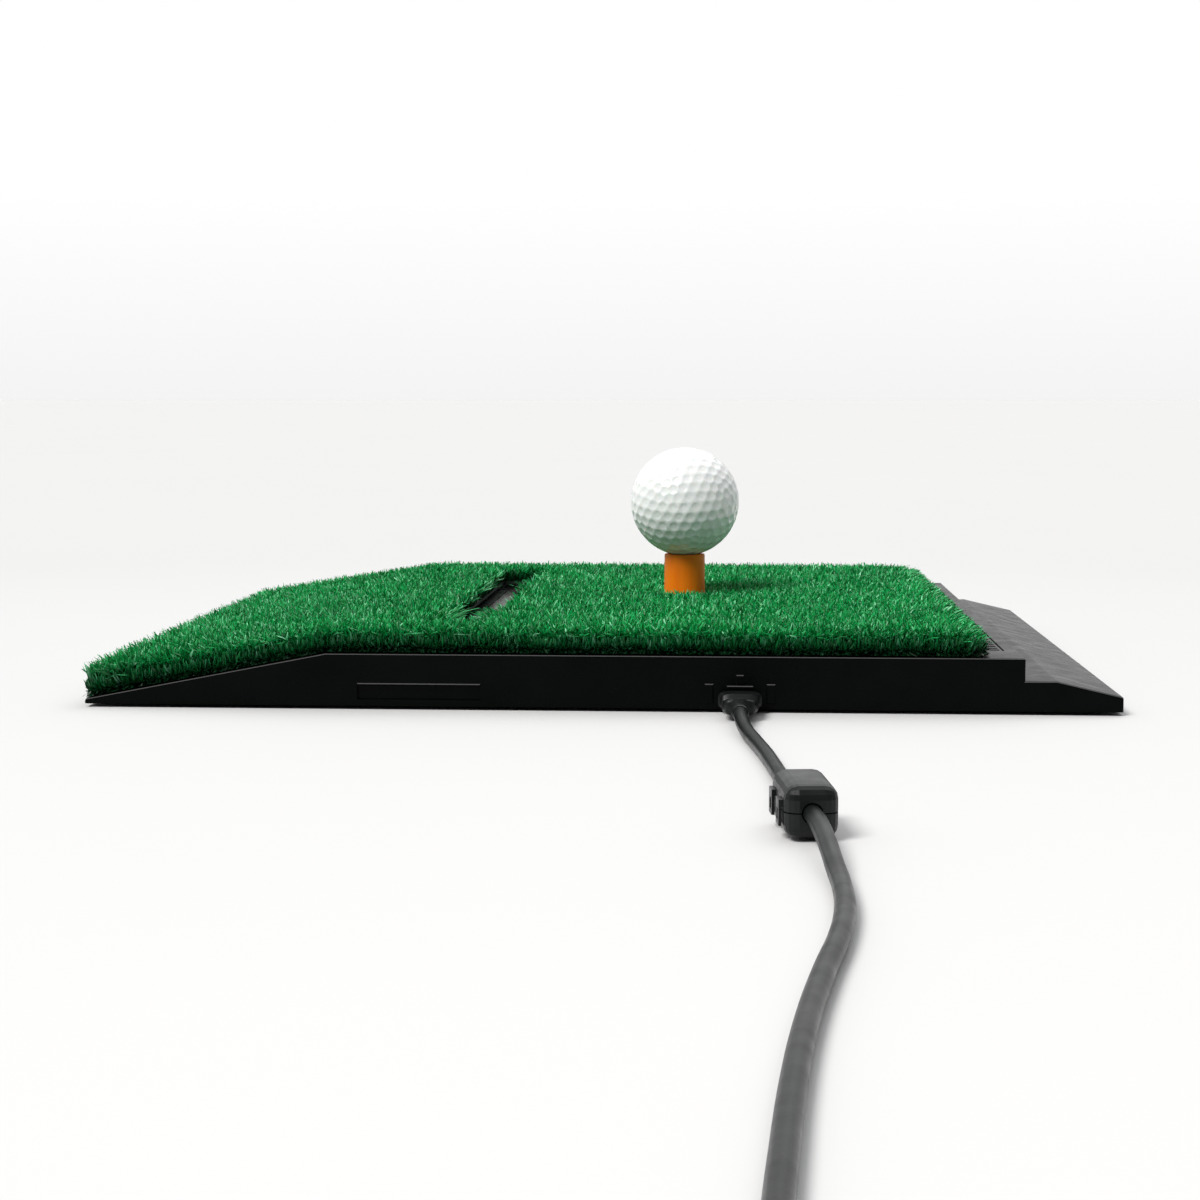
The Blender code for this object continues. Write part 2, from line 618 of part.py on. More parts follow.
def make_board_parts(plastic, metal, sleeve):
    """The controller, its crystal and two smoothing capacitors, on the main board."""
    seat = MAIN_BOARD_HIGH[2] + GAP
    bm = bmesh.new()
    add_box(bm, (0.0400, -0.1060, seat), (0.0500, -0.0960, seat + 0.0014))
    make_object("controller_chip", bm, plastic)
    bm = bmesh.new()
    verts = add_box(bm, (0.0280, -0.1060, seat), (0.0325, -0.0950, seat + 0.0034))
    upright = [edge for edge in bm.edges
               if abs(edge.verts[0].co.z - edge.verts[1].co.z) > 0.001 and edge.verts[0] in verts]
    bmesh.ops.bevel(bm, geom=upright, offset=0.0018, segments=3, profile=0.5, affect="EDGES")
    make_object("crystal", bm, metal, smooth=True)
    for number, y in enumerate((-0.0960, -0.1080), start=1):
        bm = bmesh.new()
        add_cylinder(bm, (0.0680, y, seat + 0.0026), 0.0025, 0.0052, 12)
        make_object(f"capacitor_{number}", bm, sleeve, smooth=True)


def make_ribbon(header_material, ribbon_material):
    """The flat link from the sensor board to the main board, with a header at each end."""
    sensor_side = SENSOR_X + 0.0030
    main_side = 0.0180
    header_height = 0.0026
    ends = {"sensor_header": (SENSOR_X - 0.0030, SENSOR_BOARD_Z - GAP - header_height),
            "main_header": (main_side, MAIN_BOARD_HIGH[2] + GAP)}
    for name, (low_x, low_z) in ends.items():
        bm = bmesh.new()
        add_box(bm, (low_x, RIBBON_LOW_Y - 0.001, low_z),
                (low_x + 0.0060, RIBBON_HIGH_Y + 0.001, low_z + header_height))
        make_object(name, bm, header_material)
    half = 0.00045
    line = ((sensor_side + GAP, 0.0074), (-0.0380, 0.0074), (-0.0320, 0.0080), (-0.0020, 0.0096),
            (0.0040, 0.0101), (main_side - GAP, 0.0101))
    outline = [(x, z - half) for x, z in line] + [(x, z + half) for x, z in reversed(line)]
    bm = bmesh.new()
    add_prism(bm, outline, RIBBON_LOW_Y, RIBBON_HIGH_Y)
    make_object("ribbon_cable", bm, ribbon_material)


def add_sleeve(bm, low, high, wall, end_wall=0.0):
    """A block from low to high, and the tool body that makes it a sleeve open towards -Y."""
    add_box(bm, low, high)
    far_y = high[1] - end_wall if end_wall else high[1] + 0.001
    tool = bmesh.new()
    add_box(tool, (low[0] + wall, low[1] - 0.001, low[2] + wall),
            (high[0] - wall, far_y, high[2] - wall))
    return tool


def make_usb_jack(metal, plastic):
    low = (PORT_X - 0.0041, -0.1421, PORT_Z - 0.0021)
    high = (PORT_X + 0.0041, -0.1330, PORT_Z + 0.0021)
    bm = bmesh.new()
    opening = add_sleeve(bm, low, high, 0.0004, 0.0006)
    shell = make_object("usb_jack_shell", bm, metal)
    combine(shell, opening, "usb_jack_opening")
    bm = bmesh.new()
    add_box(bm, (PORT_X - 0.0023, -0.1410, PORT_Z - 0.00045),
            (PORT_X + 0.0023, -0.1339, PORT_Z + 0.00045))
    make_object("usb_jack_tongue", bm, plastic)


# ---------------------------------------------------------------- tee and ball
def make_tee_socket(material):
    """The moulded cup under the deck that the tee stands in."""
    low = BASE_TOP + GAP
    floor = TEE_BOTTOM_Z - GAP
    flange_low = CEILING_Z - GAP - 0.0015
    profile = (
        (0.0, low), (SOCKET_RADIUS, low), (SOCKET_RADIUS, flange_low), (0.0150, flange_low),
        (0.0150, CEILING_Z - GAP), (SOCKET_RADIUS, CEILING_Z - GAP), (SOCKET_RADIUS, DECK_Z),
        (SOCKET_BORE, DECK_Z), (SOCKET_BORE, floor), (0.0, floor),
    )
    bm = bmesh.new()
    add_turned(bm, profile, (TEE_X, TEE_Y, 0.0), segments=24)
    make_object("tee_socket", bm, material, smooth=True)


def make_tee(material):
    profile = (
        (TEE_BORE, TEE_BOTTOM_Z), (TEE_BASE_RADIUS - 0.0004, TEE_BOTTOM_Z),
        (TEE_BASE_RADIUS, TEE_BOTTOM_Z + 0.0004), (TEE_TOP_RADIUS, TEE_TOP_Z - 0.0005),
        (TEE_TOP_RADIUS - 0.0004, TEE_TOP_Z), (TEE_CUP, TEE_TOP_Z), (TEE_BORE, TEE_TOP_Z - 0.0014),
    )
    bm = bmesh.new()
    add_turned(bm, profile, (TEE_X, TEE_Y, 0.0), segments=24, closed=True)
    make_object("rubber_tee", bm, material, origin=(TEE_X, TEE_Y, TEE_BOTTOM_Z), smooth=True)


def make_ball(material):
    bm = bmesh.new()
    centre = (TEE_X, TEE_Y, BALL_Z)
    bmesh.ops.create_icosphere(bm, subdivisions=4, radius=BALL_RADIUS,
                               matrix=Matrix.Translation(centre))
    make_object("golf_ball", bm, material, origin=centre, smooth=True)


# ---------------------------------------------------------------- lead
def make_mini_plug(metal, plastic):
    half_x, length, half_z = PLUG_SIZE[0] / 2, PLUG_SIZE[1], PLUG_SIZE[2] / 2
    bm = bmesh.new()
    add_box(bm, (PORT_X - half_x, PLUG_FRONT_Y - length, PORT_Z - half_z),
            (PORT_X + half_x, PLUG_FRONT_Y, PORT_Z + half_z))
    along = [edge for edge in bm.edges if abs(edge.verts[0].co.y - edge.verts[1].co.y) > 0.001]
    bmesh.ops.bevel(bm, geom=along, offset=0.0014, segments=2, profile=0.5, affect="EDGES")
    make_object("mini_plug_body", bm, plastic, smooth=True)

    low = (PORT_X - 0.0034, PLUG_FRONT_Y + GAP, PORT_Z - 0.0014)
    high = (PORT_X + 0.0034, -0.1360, PORT_Z + 0.0014)
    bm = bmesh.new()
    opening = add_sleeve(bm, low, high, 0.0004)
    shell = make_object("mini_plug_shell", bm, metal)
    combine(shell, opening, "mini_plug_opening")

    tail_y = PLUG_FRONT_Y - length - GAP
    bm = bmesh.new()
    add_cylinder(bm, (PORT_X, tail_y - RELIEF_LENGTH / 2, PORT_Z), RELIEF_RADIUS, RELIEF_LENGTH,
                 14, "Y", top_radius=RELIEF_END_RADIUS)
    make_object("mini_plug_relief", bm, plastic, smooth=True)


def add_ferrite_half(bm, side):
    """One half of the ferrite's case about its own axis; side is 1 above and -1 below."""
    half_x, half_y, half_z = (value / 2 for value in FERRITE_SIZE)
    parting = GAP / 2
    low_z, high_z = (parting, half_z) if side > 0 else (-half_z, -parting)
    add_box(bm, (-half_x, -half_y, low_z), (half_x, half_y, high_z))
    outer = [edge for edge in bm.edges if max(vert.co.z * side for vert in edge.verts) > half_z / 2]
    bmesh.ops.bevel(bm, geom=outer, offset=FERRITE_ROUND, segments=4, profile=0.5, affect="EDGES")


def add_latches(shell, shift):
    """The upper half's two U-shaped latches, which reach down over the lower half."""
    side_x = -FERRITE_SIZE[0] / 2
    tongue = ((side_x - 0.0010, -0.0036), (side_x - GAP, -0.0036), (side_x - GAP, 0.0010),
              (side_x + 0.0006, 0.0010), (side_x + 0.0006, 0.0026), (side_x - 0.0010, 0.0026))
    tongues = bmesh.new()
    windows = bmesh.new()
    for y in (-0.0066, 0.0066):
        add_prism(tongues, tongue, y - 0.0026, y + 0.0026)
        add_box(windows, (side_x - 0.0020, y - 0.0012, -0.0024), (side_x - 0.0001, y + 0.0012, 0.0004))
    for bm, label, operation in ((tongues, "ferrite_latches", "UNION"),
                                 (windows, "ferrite_latch_windows", "DIFFERENCE")):
        bmesh.ops.translate(bm, verts=bm.verts[:], vec=-shift)
        combine(shell, bm, label, operation)


def make_ferrite(plastic, core):
    """A snap-on ferrite: two case halves that hold a half core each, hinged along one side."""
    for side, label in ((-1, "lower"), (1, "upper")):
        shift = Vector((0, 0, 0))
        origin = FERRITE_CENTRE.copy()
        if side > 0:
            shift = Vector((FERRITE_SIZE[0] / 2, 0, 0))
            origin += Matrix.Rotation(FERRITE_TURN, 3, "Z") @ shift
        bm = bmesh.new()
        add_ferrite_half(bm, side)
        bmesh.ops.translate(bm, verts=bm.verts[:], vec=-shift)
        shell = make_object(f"ferrite_{label}_shell", bm, plastic, origin, FERRITE_TURN, smooth=True)
        bm = bmesh.new()
        add_cylinder(bm, -shift, CORE_RADIUS + GAP, CORE_LENGTH + 2 * GAP, 20, "Y")
        combine(shell, bm, f"ferrite_{label}_pocket")
        bm = bmesh.new()
        add_cylinder(bm, -shift, CABLE_BORE, FERRITE_SIZE[1] + 0.002, 16, "Y")
        combine(shell, bm, f"ferrite_{label}_bore")
        if side > 0:
            add_latches(shell, shift)
        bm = bmesh.new()
        add_cylinder(bm, -shift, CORE_RADIUS, CORE_LENGTH, 20, "Y")
        half_core = make_object(f"ferrite_{label}_core", bm, core, origin, FERRITE_TURN, smooth=True)
        bm = bmesh.new()
        add_cylinder(bm, -shift, CABLE_BORE, CORE_LENGTH + 0.002, 16, "Y")
        combine(half_core, bm, f"ferrite_{label}_core_bore")
        low_z, high_z = (-CUT_REACH, GAP / 2) if side > 0 else (-GAP / 2, CUT_REACH)
        bm = bmesh.new()
        add_box(bm, (-shift.x - CUT_REACH, -CUT_REACH, low_z), (-shift.x + CUT_REACH, CUT_REACH, high_z))
        combine(half_core, bm, f"ferrite_{label}_core_cut")


def make_coil(cable_material, tie_material):
    """The outer shape of the coiled spare lead, and the strap that ties it."""
    profile = ((RING_INNER, COIL_BOTTOM), (RING_OUTER, COIL_BOTTOM),
               (RING_OUTER, COIL_BOTTOM + COIL_HEIGHT), (RING_INNER, COIL_BOTTOM + COIL_HEIGHT))
    bm = bmesh.new()
    add_turned(bm, profile, COIL_CENTRE, segments=36, closed=True)
    make_object("cable_coil", bm, cable_material, smooth=True)

    thickness = 0.0008
    half_width = 0.0060
    reach = RING_OUTER + GAP
    inner_x = math.sqrt(RING_INNER ** 2 - half_width ** 2) - GAP
    low = (COIL_CENTRE.x - reach - thickness, COIL_CENTRE.y - half_width, 0.0001)
    high = (COIL_CENTRE.x - inner_x + thickness, COIL_CENTRE.y + half_width,
            COIL_BOTTOM + COIL_HEIGHT + GAP + thickness)
    bm = bmesh.new()
    add_box(bm, low, high)
    tie = make_object("coil_tie", bm, tie_material)
    bm = bmesh.new()
    add_box(bm, (COIL_CENTRE.x - reach, low[1] - 0.001, COIL_BOTTOM - GAP),
            (COIL_CENTRE.x - inner_x, high[1] + 0.001, COIL_BOTTOM + COIL_HEIGHT + GAP))
    combine(tie, bm, "coil_tie_opening")


def make_usb_a_plug(metal, plastic, tongue_material):
    """The plug at the far end: relief, grip, metal shell and contact tongue, along -X."""
    y, z = USB_A_AXIS_Y, USB_A_AXIS_Z
    x = TAIL_ROUTE[-1][0] - GAP
    bm = bmesh.new()
    add_cylinder(bm, (x - 0.0060, y, z), 0.0036, 0.0120, 14, "X", top_radius=0.0026)
    make_object("usb_a_relief", bm, plastic, smooth=True)
    x -= 0.0120 + GAP
    bm = bmesh.new()
    add_box(bm, (x - 0.0260, y - 0.0080, z - 0.0041), (x, y + 0.0080, z + 0.0041))
    along = [edge for edge in bm.edges if abs(edge.verts[0].co.x - edge.verts[1].co.x) > 0.001]
    bmesh.ops.bevel(bm, geom=along, offset=0.0018, segments=2, profile=0.5, affect="EDGES")
    make_object("usb_a_body", bm, plastic, smooth=True)
    x -= 0.0260 + GAP
    length = 0.0118
    bm = bmesh.new()
    add_box(bm, (x - length, y - 0.0060, z - 0.00225), (x, y + 0.0060, z + 0.00225))
    shell = make_object("usb_a_shell", bm, metal)
    bm = bmesh.new()
    add_box(bm, (x - length - 0.001, y - 0.0057, z - 0.00195), (x + 0.001, y + 0.0057, z + 0.00195))
    combine(shell, bm, "usb_a_opening")
    bm = bmesh.new()
    add_box(bm, (x - length + 0.0008, y - 0.0053, z - 0.0016), (x, y + 0.0053, z + 0.0002))
    make_object("usb_a_tongue", bm, tongue_material)


# ---------------------------------------------------------------- assembly
def put_lead_on_its_slide():
    """Parents the lead's pieces to an empty in the mouth of the port, leaving them in place."""
    mouth = Vector((PORT_X, -HALF_WIDTH, PORT_Z))
    slide = bpy.data.objects.new("lead_slide", None)
    slide.location = mouth
    bpy.context.collection.objects.link(slide)
    for obj in list(bpy.data.objects):
        if obj.name.startswith(LEAD_PIECES) and not obj.hide_render:
            obj.parent = slide
            obj.matrix_parent_inverse = Matrix.Translation(-mouth)


def main():
    clear_scene()
    black = make_material("housing_black", (0.020, 0.021, 0.021), 0.42)
    base_black = make_material("base_black", (0.024, 0.024, 0.025), 0.55)
    screw_steel = make_material("screw_steel", (0.45, 0.45, 0.46), 0.35, 1.0)
    foot_rubber = make_material("foot_rubber", (0.018, 0.018, 0.018), 0.85)
    hook_tape = make_material("hook_tape", (0.03, 0.03, 0.03), 0.95)
    latex = make_material("turf_latex", (0.015, 0.045, 0.020), 0.90)
    turf = make_material("turf_green", (0.005, 0.150, 0.045), 0.60)
    infrared = make_material("infrared_plastic", (0.030, 0.004, 0.006), 0.12)
    board = make_material("board_green", (0.012, 0.110, 0.035), 0.45)
    emitter = make_material("emitter_clear", (0.55, 0.60, 0.70), 0.10)
    receiver = make_material("receiver_dark", (0.020, 0.020, 0.030), 0.12)
    chip = make_material("chip_epoxy", (0.030, 0.030, 0.032), 0.50)
    can = make_material("crystal_can", (0.70, 0.70, 0.70), 0.25, 1.0)
    sleeve = make_material("capacitor_sleeve", (0.06, 0.07, 0.11), 0.35)
    header = make_material("header_white", (0.75, 0.74, 0.70), 0.45)
    ribbon = make_material("ribbon_grey", (0.42, 0.42, 0.43), 0.55)
    plated = make_material("plated_steel", (0.62, 0.62, 0.63), 0.28, 1.0)
    socket = make_material("socket_rubber", (0.020, 0.020, 0.020), 0.75)
    tee_rubber = make_material("tee_orange", (0.480, 0.125, 0.010), 0.55)
    ball_white = make_material("ball_white", (0.82, 0.85, 0.85), 0.28)
    lead = make_material("lead_black", (0.032, 0.036, 0.036), 0.50)
    ferrite = make_material("ferrite_grey", (0.035, 0.034, 0.036), 0.60)
    strap = make_material("strap_black", (0.025, 0.025, 0.027), 0.90)

    make_upper_housing(black)
    make_base_cover(base_black)
    make_base_screws(screw_steel)
    make_feet(foot_rubber)
    make_hook_strips(hook_tape)
    make_turf_backing(latex)
    make_turf_pile(turf)
    make_sensor_window(infrared)
    make_sensor_board(board)
    make_sensors("ir_emitter_row", -1, emitter)
    make_sensors("ir_receiver_row", 1, receiver)
    make_main_board(board)
    make_board_screws(screw_steel)
    make_board_parts(chip, can, sleeve)
    make_ribbon(header, ribbon)
    make_usb_jack(plated, chip)
    make_tee_socket(socket)
    make_tee(tee_rubber)
    make_ball(ball_white)
    make_mini_plug(plated, lead)
    make_tube("usb_cable", CABLE_ROUTE, CABLE_RADIUS, lead)
    make_ferrite(lead, ferrite)
    make_coil(lead, strap)
    make_tube("cable_tail", TAIL_ROUTE, CABLE_RADIUS, lead)
    make_usb_a_plug(plated, lead, header)
    put_lead_on_its_slide()


main()
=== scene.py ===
"""Looks of the golf swing-sensor mat: turf, housing, rubber tee, ball and USB lead.

Everything is in metres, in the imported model's frame: origin on the floor under the middle of the
housing, +X along the target line, +Y away from the side that the lead leaves, +Z up.
"""
import json
import math

import bmesh
import bpy
import numpy as np
from mathutils import Matrix, Vector


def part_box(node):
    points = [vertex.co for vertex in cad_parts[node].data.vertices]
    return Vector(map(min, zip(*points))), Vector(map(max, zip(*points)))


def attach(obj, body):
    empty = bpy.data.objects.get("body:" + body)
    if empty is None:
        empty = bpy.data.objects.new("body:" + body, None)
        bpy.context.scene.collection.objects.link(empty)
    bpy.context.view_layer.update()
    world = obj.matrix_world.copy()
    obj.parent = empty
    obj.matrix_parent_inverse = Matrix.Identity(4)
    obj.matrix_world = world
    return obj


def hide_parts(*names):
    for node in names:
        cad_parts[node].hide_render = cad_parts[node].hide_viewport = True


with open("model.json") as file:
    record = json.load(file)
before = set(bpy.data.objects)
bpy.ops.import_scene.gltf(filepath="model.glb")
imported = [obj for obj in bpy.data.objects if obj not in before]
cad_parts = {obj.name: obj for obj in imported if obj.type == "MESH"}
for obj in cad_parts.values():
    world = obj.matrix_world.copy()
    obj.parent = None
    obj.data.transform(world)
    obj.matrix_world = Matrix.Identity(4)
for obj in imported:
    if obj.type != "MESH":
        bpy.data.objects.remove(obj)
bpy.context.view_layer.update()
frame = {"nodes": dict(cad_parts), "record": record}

# ---------------------------------------------------------------- sizes shared with the CAD
DECK_Z = 0.0185
HALF_LENGTH = 0.1725
RAMP_TOP_X = -0.0906
LEFT_LIP_Z = 0.0026
RAMP_SLOPE = (DECK_Z - LEFT_LIP_Z) / (RAMP_TOP_X + HALF_LENGTH)
TURF_LEFT_X = -0.1710
TURF_RIGHT_X = 0.1250
TURF_HALF_Y = 0.1393
BACKING_TOP = 0.0024        # above the housing's top
PILE_TOP_Z = 0.0278
PILE_LEFT_TOP_Z = 0.0150
SLOT_X = -0.0485
SLOT_HALF_X = 0.0095
SLOT_HALF_Y = 0.1120
TEE_X = 0.0258
TEE_Y = 0.0015
TEE_HOLE = 0.0095
TEE_BOTTOM_Z = 0.0053
TEE_TOP_Z = 0.0418
TEE_BASE_RADIUS = 0.00825
TEE_TOP_RADIUS = 0.00795
TEE_BORE = 0.0054
TEE_CUP = 0.0066
BALL_RADIUS = 0.021335
BALL_CENTRE = Vector((TEE_X, TEE_Y, 0.0624))
PORT_X = 0.0474
PORT_Z = 0.0044
PLUG_FRONT_Y = -0.1441
PLUG_LENGTH = 0.0200
PLUG_END_Y = PLUG_FRONT_Y - PLUG_LENGTH
RELIEF_LENGTH = 0.0120
CABLE_RADIUS = 0.00225
FLOOR_CABLE_Z = CABLE_RADIUS + 0.00005
COIL_CENTRE = Vector((0.0111, -0.6690, 0.0))
COIL_PITCH = 0.0047
COIL_INNER = 0.01895
COIL_COLUMNS = 4
COIL_LOW_Z = 0.00345
COIL_SIDE = COIL_INNER + 3 * COIL_PITCH + 2 * CABLE_RADIUS + 0.0003
COIL_TURNS = 15.25

# the lead's route on the floor, from inside the plug to the coil
CABLE_ROUTE = (
    (0.0474, -0.1660, 0.0044),
    (0.0474, -0.1769, 0.0044),
    (0.0477, -0.1850, 0.0040),
    (0.0490, -0.1980, 0.0028),
    (0.0514, -0.2150, FLOOR_CABLE_Z),
    (0.0545, -0.2400, FLOOR_CABLE_Z),
    (0.0569, -0.2650, FLOOR_CABLE_Z),
    (0.0583, -0.2850, 0.0030),
    (0.0592, -0.3010, 0.0053),
    (0.0600, -0.3161, 0.0067),
    (0.0609, -0.3246, 0.0068),
    (0.0623, -0.3380, 0.0068),
    (0.0637, -0.3514, 0.0068),
    (0.0646, -0.3599, 0.0067),
    (0.0660, -0.3750, 0.0052),
    (0.0671, -0.3900, 0.0030),
    (0.0678, -0.4060, FLOOR_CABLE_Z),
    (0.0676, -0.4230, FLOOR_CABLE_Z),
    (0.0655, -0.4460, FLOOR_CABLE_Z),
    (0.0612, -0.4740, FLOOR_CABLE_Z),
    (0.0572, -0.5040, FLOOR_CABLE_Z),
    (0.0543, -0.5340, FLOOR_CABLE_Z),
    (0.0523, -0.5620, FLOOR_CABLE_Z),
    (0.0505, -0.5920, FLOOR_CABLE_Z),
    (0.0494, -0.6250, 0.0026),
    (0.04895, -0.6480, 0.0032),
)
# from the top of the coil down to the USB-A plug beside it
TAIL_ROUTE = (
    (0.0000, -0.7070, 0.0170),
    (-0.0130, -0.7070, 0.0140),
    (-0.0260, -0.7066, 0.0093),
    (-0.0380, -0.7060, 0.0058),
    (-0.0480, -0.7060, 0.0045),
    (-0.0580, -0.7060, 0.0042),
    (-0.0640, -0.7060, 0.0042),
)


# ---------------------------------------------------------------- camera, light and floor
CAMERA_PLACE = (0.0446, -0.8479, 0.1038)
CAMERA_YAW = -0.0616        # radians clockwise from +Y
CAMERA_PITCH = 0.0945       # radians below level
CAMERA_LENS = 64.467        # millimetres, on a sensor 36 mm wide
BACKDROP_LOW = 0.905        # at the horizon
BACKDROP_WHITE_AT = 0.09    # sine of the angle above it where the backdrop is white
SKY_STRENGTH = 0.90
SKY_TOWARDS = (-0.20, 0.72, 0.66)
SKY_DIM = (0.16, 0.165, 0.17)
SKY_FULL_AT = 0.70          # cosine of the angle from SKY_TOWARDS inside which the sky is white
FLOOR_REACH = 60.0
FLOOR_DROP = 0.0002         # below the pad's feet
# centre of the painted pool of light on the floor
FLOOR_LIGHT_POOL_CENTRE = (0.0, -0.6, 0.0)


def grey(value):
    return (value, value, value)


def make_camera():
    data = bpy.data.cameras.new("camera")
    data.sensor_width = 36.0
    data.lens = CAMERA_LENS
    data.clip_start = 0.01
    data.clip_end = 200.0
    camera = bpy.data.objects.new("camera", data)
    camera.location = CAMERA_PLACE
    level = math.cos(CAMERA_PITCH)
    forward = Vector((math.sin(CAMERA_YAW) * level, math.cos(CAMERA_YAW) * level,
                      -math.sin(CAMERA_PITCH)))
    camera.rotation_mode = "QUATERNION"
    camera.rotation_quaternion = forward.to_track_quat("-Z", "Y")
    bpy.context.collection.objects.link(camera)
    bpy.context.scene.camera = camera


def add_sun(name, direction, strength, spread, color):
    """A far light that shines along direction; spread is its width in degrees."""
    data = bpy.data.lights.new(name, "SUN")
    data.energy = strength
    data.angle = math.radians(spread)
    data.color = color
    lamp = bpy.data.objects.new(name, data)
    lamp.rotation_euler = Vector(direction).to_track_quat("-Z", "Y").to_euler()
    bpy.context.collection.objects.link(lamp)


def make_world():
    """A pale backdrop that fades to white, and a dimmer sky that lights the object."""
    world = bpy.data.worlds.new("studio")
    world.use_nodes = True
    tree = world.node_tree
    seen = tree.nodes["Background"]
    seen.inputs["Strength"].default_value = 1.0
    sky = tree.nodes.new("ShaderNodeBackground")
    sky.inputs["Strength"].default_value = SKY_STRENGTH
    place = tree.nodes.new("ShaderNodeTexCoord")
    height = tree.nodes.new("ShaderNodeSeparateXYZ")
    backdrop = tree.nodes.new("ShaderNodeValToRGB")
    facing = tree.nodes.new("ShaderNodeVectorMath")
    facing.operation = "DOT_PRODUCT"
    facing.inputs[1].default_value = SKY_TOWARDS
    fade = tree.nodes.new("ShaderNodeValToRGB")
    for ramp, low, white_at in ((backdrop, grey(BACKDROP_LOW), BACKDROP_WHITE_AT),
                                (fade, SKY_DIM, SKY_FULL_AT)):
        dim, full = ramp.color_ramp.elements
        dim.position = 0.0
        dim.color = (*low, 1.0)
        full.position = white_at
        full.color = (1.0, 1.0, 1.0, 1.0)
    tree.links.new(place.outputs["Generated"], height.inputs[0])
    tree.links.new(height.outputs["Z"], backdrop.inputs["Fac"])
    tree.links.new(backdrop.outputs["Color"], seen.inputs["Color"])
    path = tree.nodes.new("ShaderNodeLightPath")
    mix = tree.nodes.new("ShaderNodeMixShader")
    tree.links.new(place.outputs["Generated"], facing.inputs[0])
    tree.links.new(facing.outputs["Value"], fade.inputs["Fac"])
    tree.links.new(fade.outputs["Color"], sky.inputs["Color"])
    tree.links.new(path.outputs["Is Camera Ray"], mix.inputs[0])
    tree.links.new(sky.outputs[0], mix.inputs[1])
    tree.links.new(seen.outputs[0], mix.inputs[2])
    tree.links.new(mix.outputs[0], tree.nodes["World Output"].inputs["Surface"])
    bpy.context.scene.world = world


def make_floor():
    """A sheet of pale paper with a painted pool of light: lighter near a point by the coiled lead, a
    little darker away from it.
    """
    mesh = bpy.data.meshes.new("floor")
    mesh.from_pydata([(-FLOOR_REACH, -FLOOR_REACH, 0), (FLOOR_REACH, -FLOOR_REACH, 0),
                      (FLOOR_REACH, FLOOR_REACH, 0), (-FLOOR_REACH, FLOOR_REACH, 0)],
                     [], [(0, 1, 2, 3)])
    floor = bpy.data.objects.new("floor", mesh)
    floor.location.z = -FLOOR_DROP
    bpy.context.collection.objects.link(floor)
    shader = Shader("floor_paper", grey(0.62), 0.9, specular=0.1)
    away = shader.node("ShaderNodeVectorMath", Vector=shader.place)
    away.operation = "DISTANCE"
    away.inputs[1].default_value = FLOOR_LIGHT_POOL_CENTRE
    # painted pool of light: the paper is painted lighter near the centre point and darker away from it
    painted_light_falloff = shader.node("ShaderNodeMapRange", Value=away.outputs["Value"])
    painted_light_falloff.inputs["From Min"].default_value = 0.1
    painted_light_falloff.inputs["From Max"].default_value = 1.1
    paper = shader.ramp(painted_light_falloff.outputs["Result"], ((0.0, grey(0.665)), (1.0, grey(0.598))))
    grain = shader.ramp(shader.noise(3.0, 3), ((0.3, grey(0.99)), (0.7, grey(1.0))))
    shader.link(shader.multiply(paper, grain), shader.bsdf.inputs["Base Color"])
    mesh.materials.append(shader.material)


def make_studio():
    make_world()
    bpy.context.scene.view_settings.view_transform = "Standard"
    add_sun("key", (0.50, 0.55, -0.90), 3.0, 25.0, (1.0, 0.985, 0.965))
    add_sun("back", (-0.20, -0.75, -1.0), 0.7, 50.0, (0.98, 0.99, 1.0))
    make_floor()


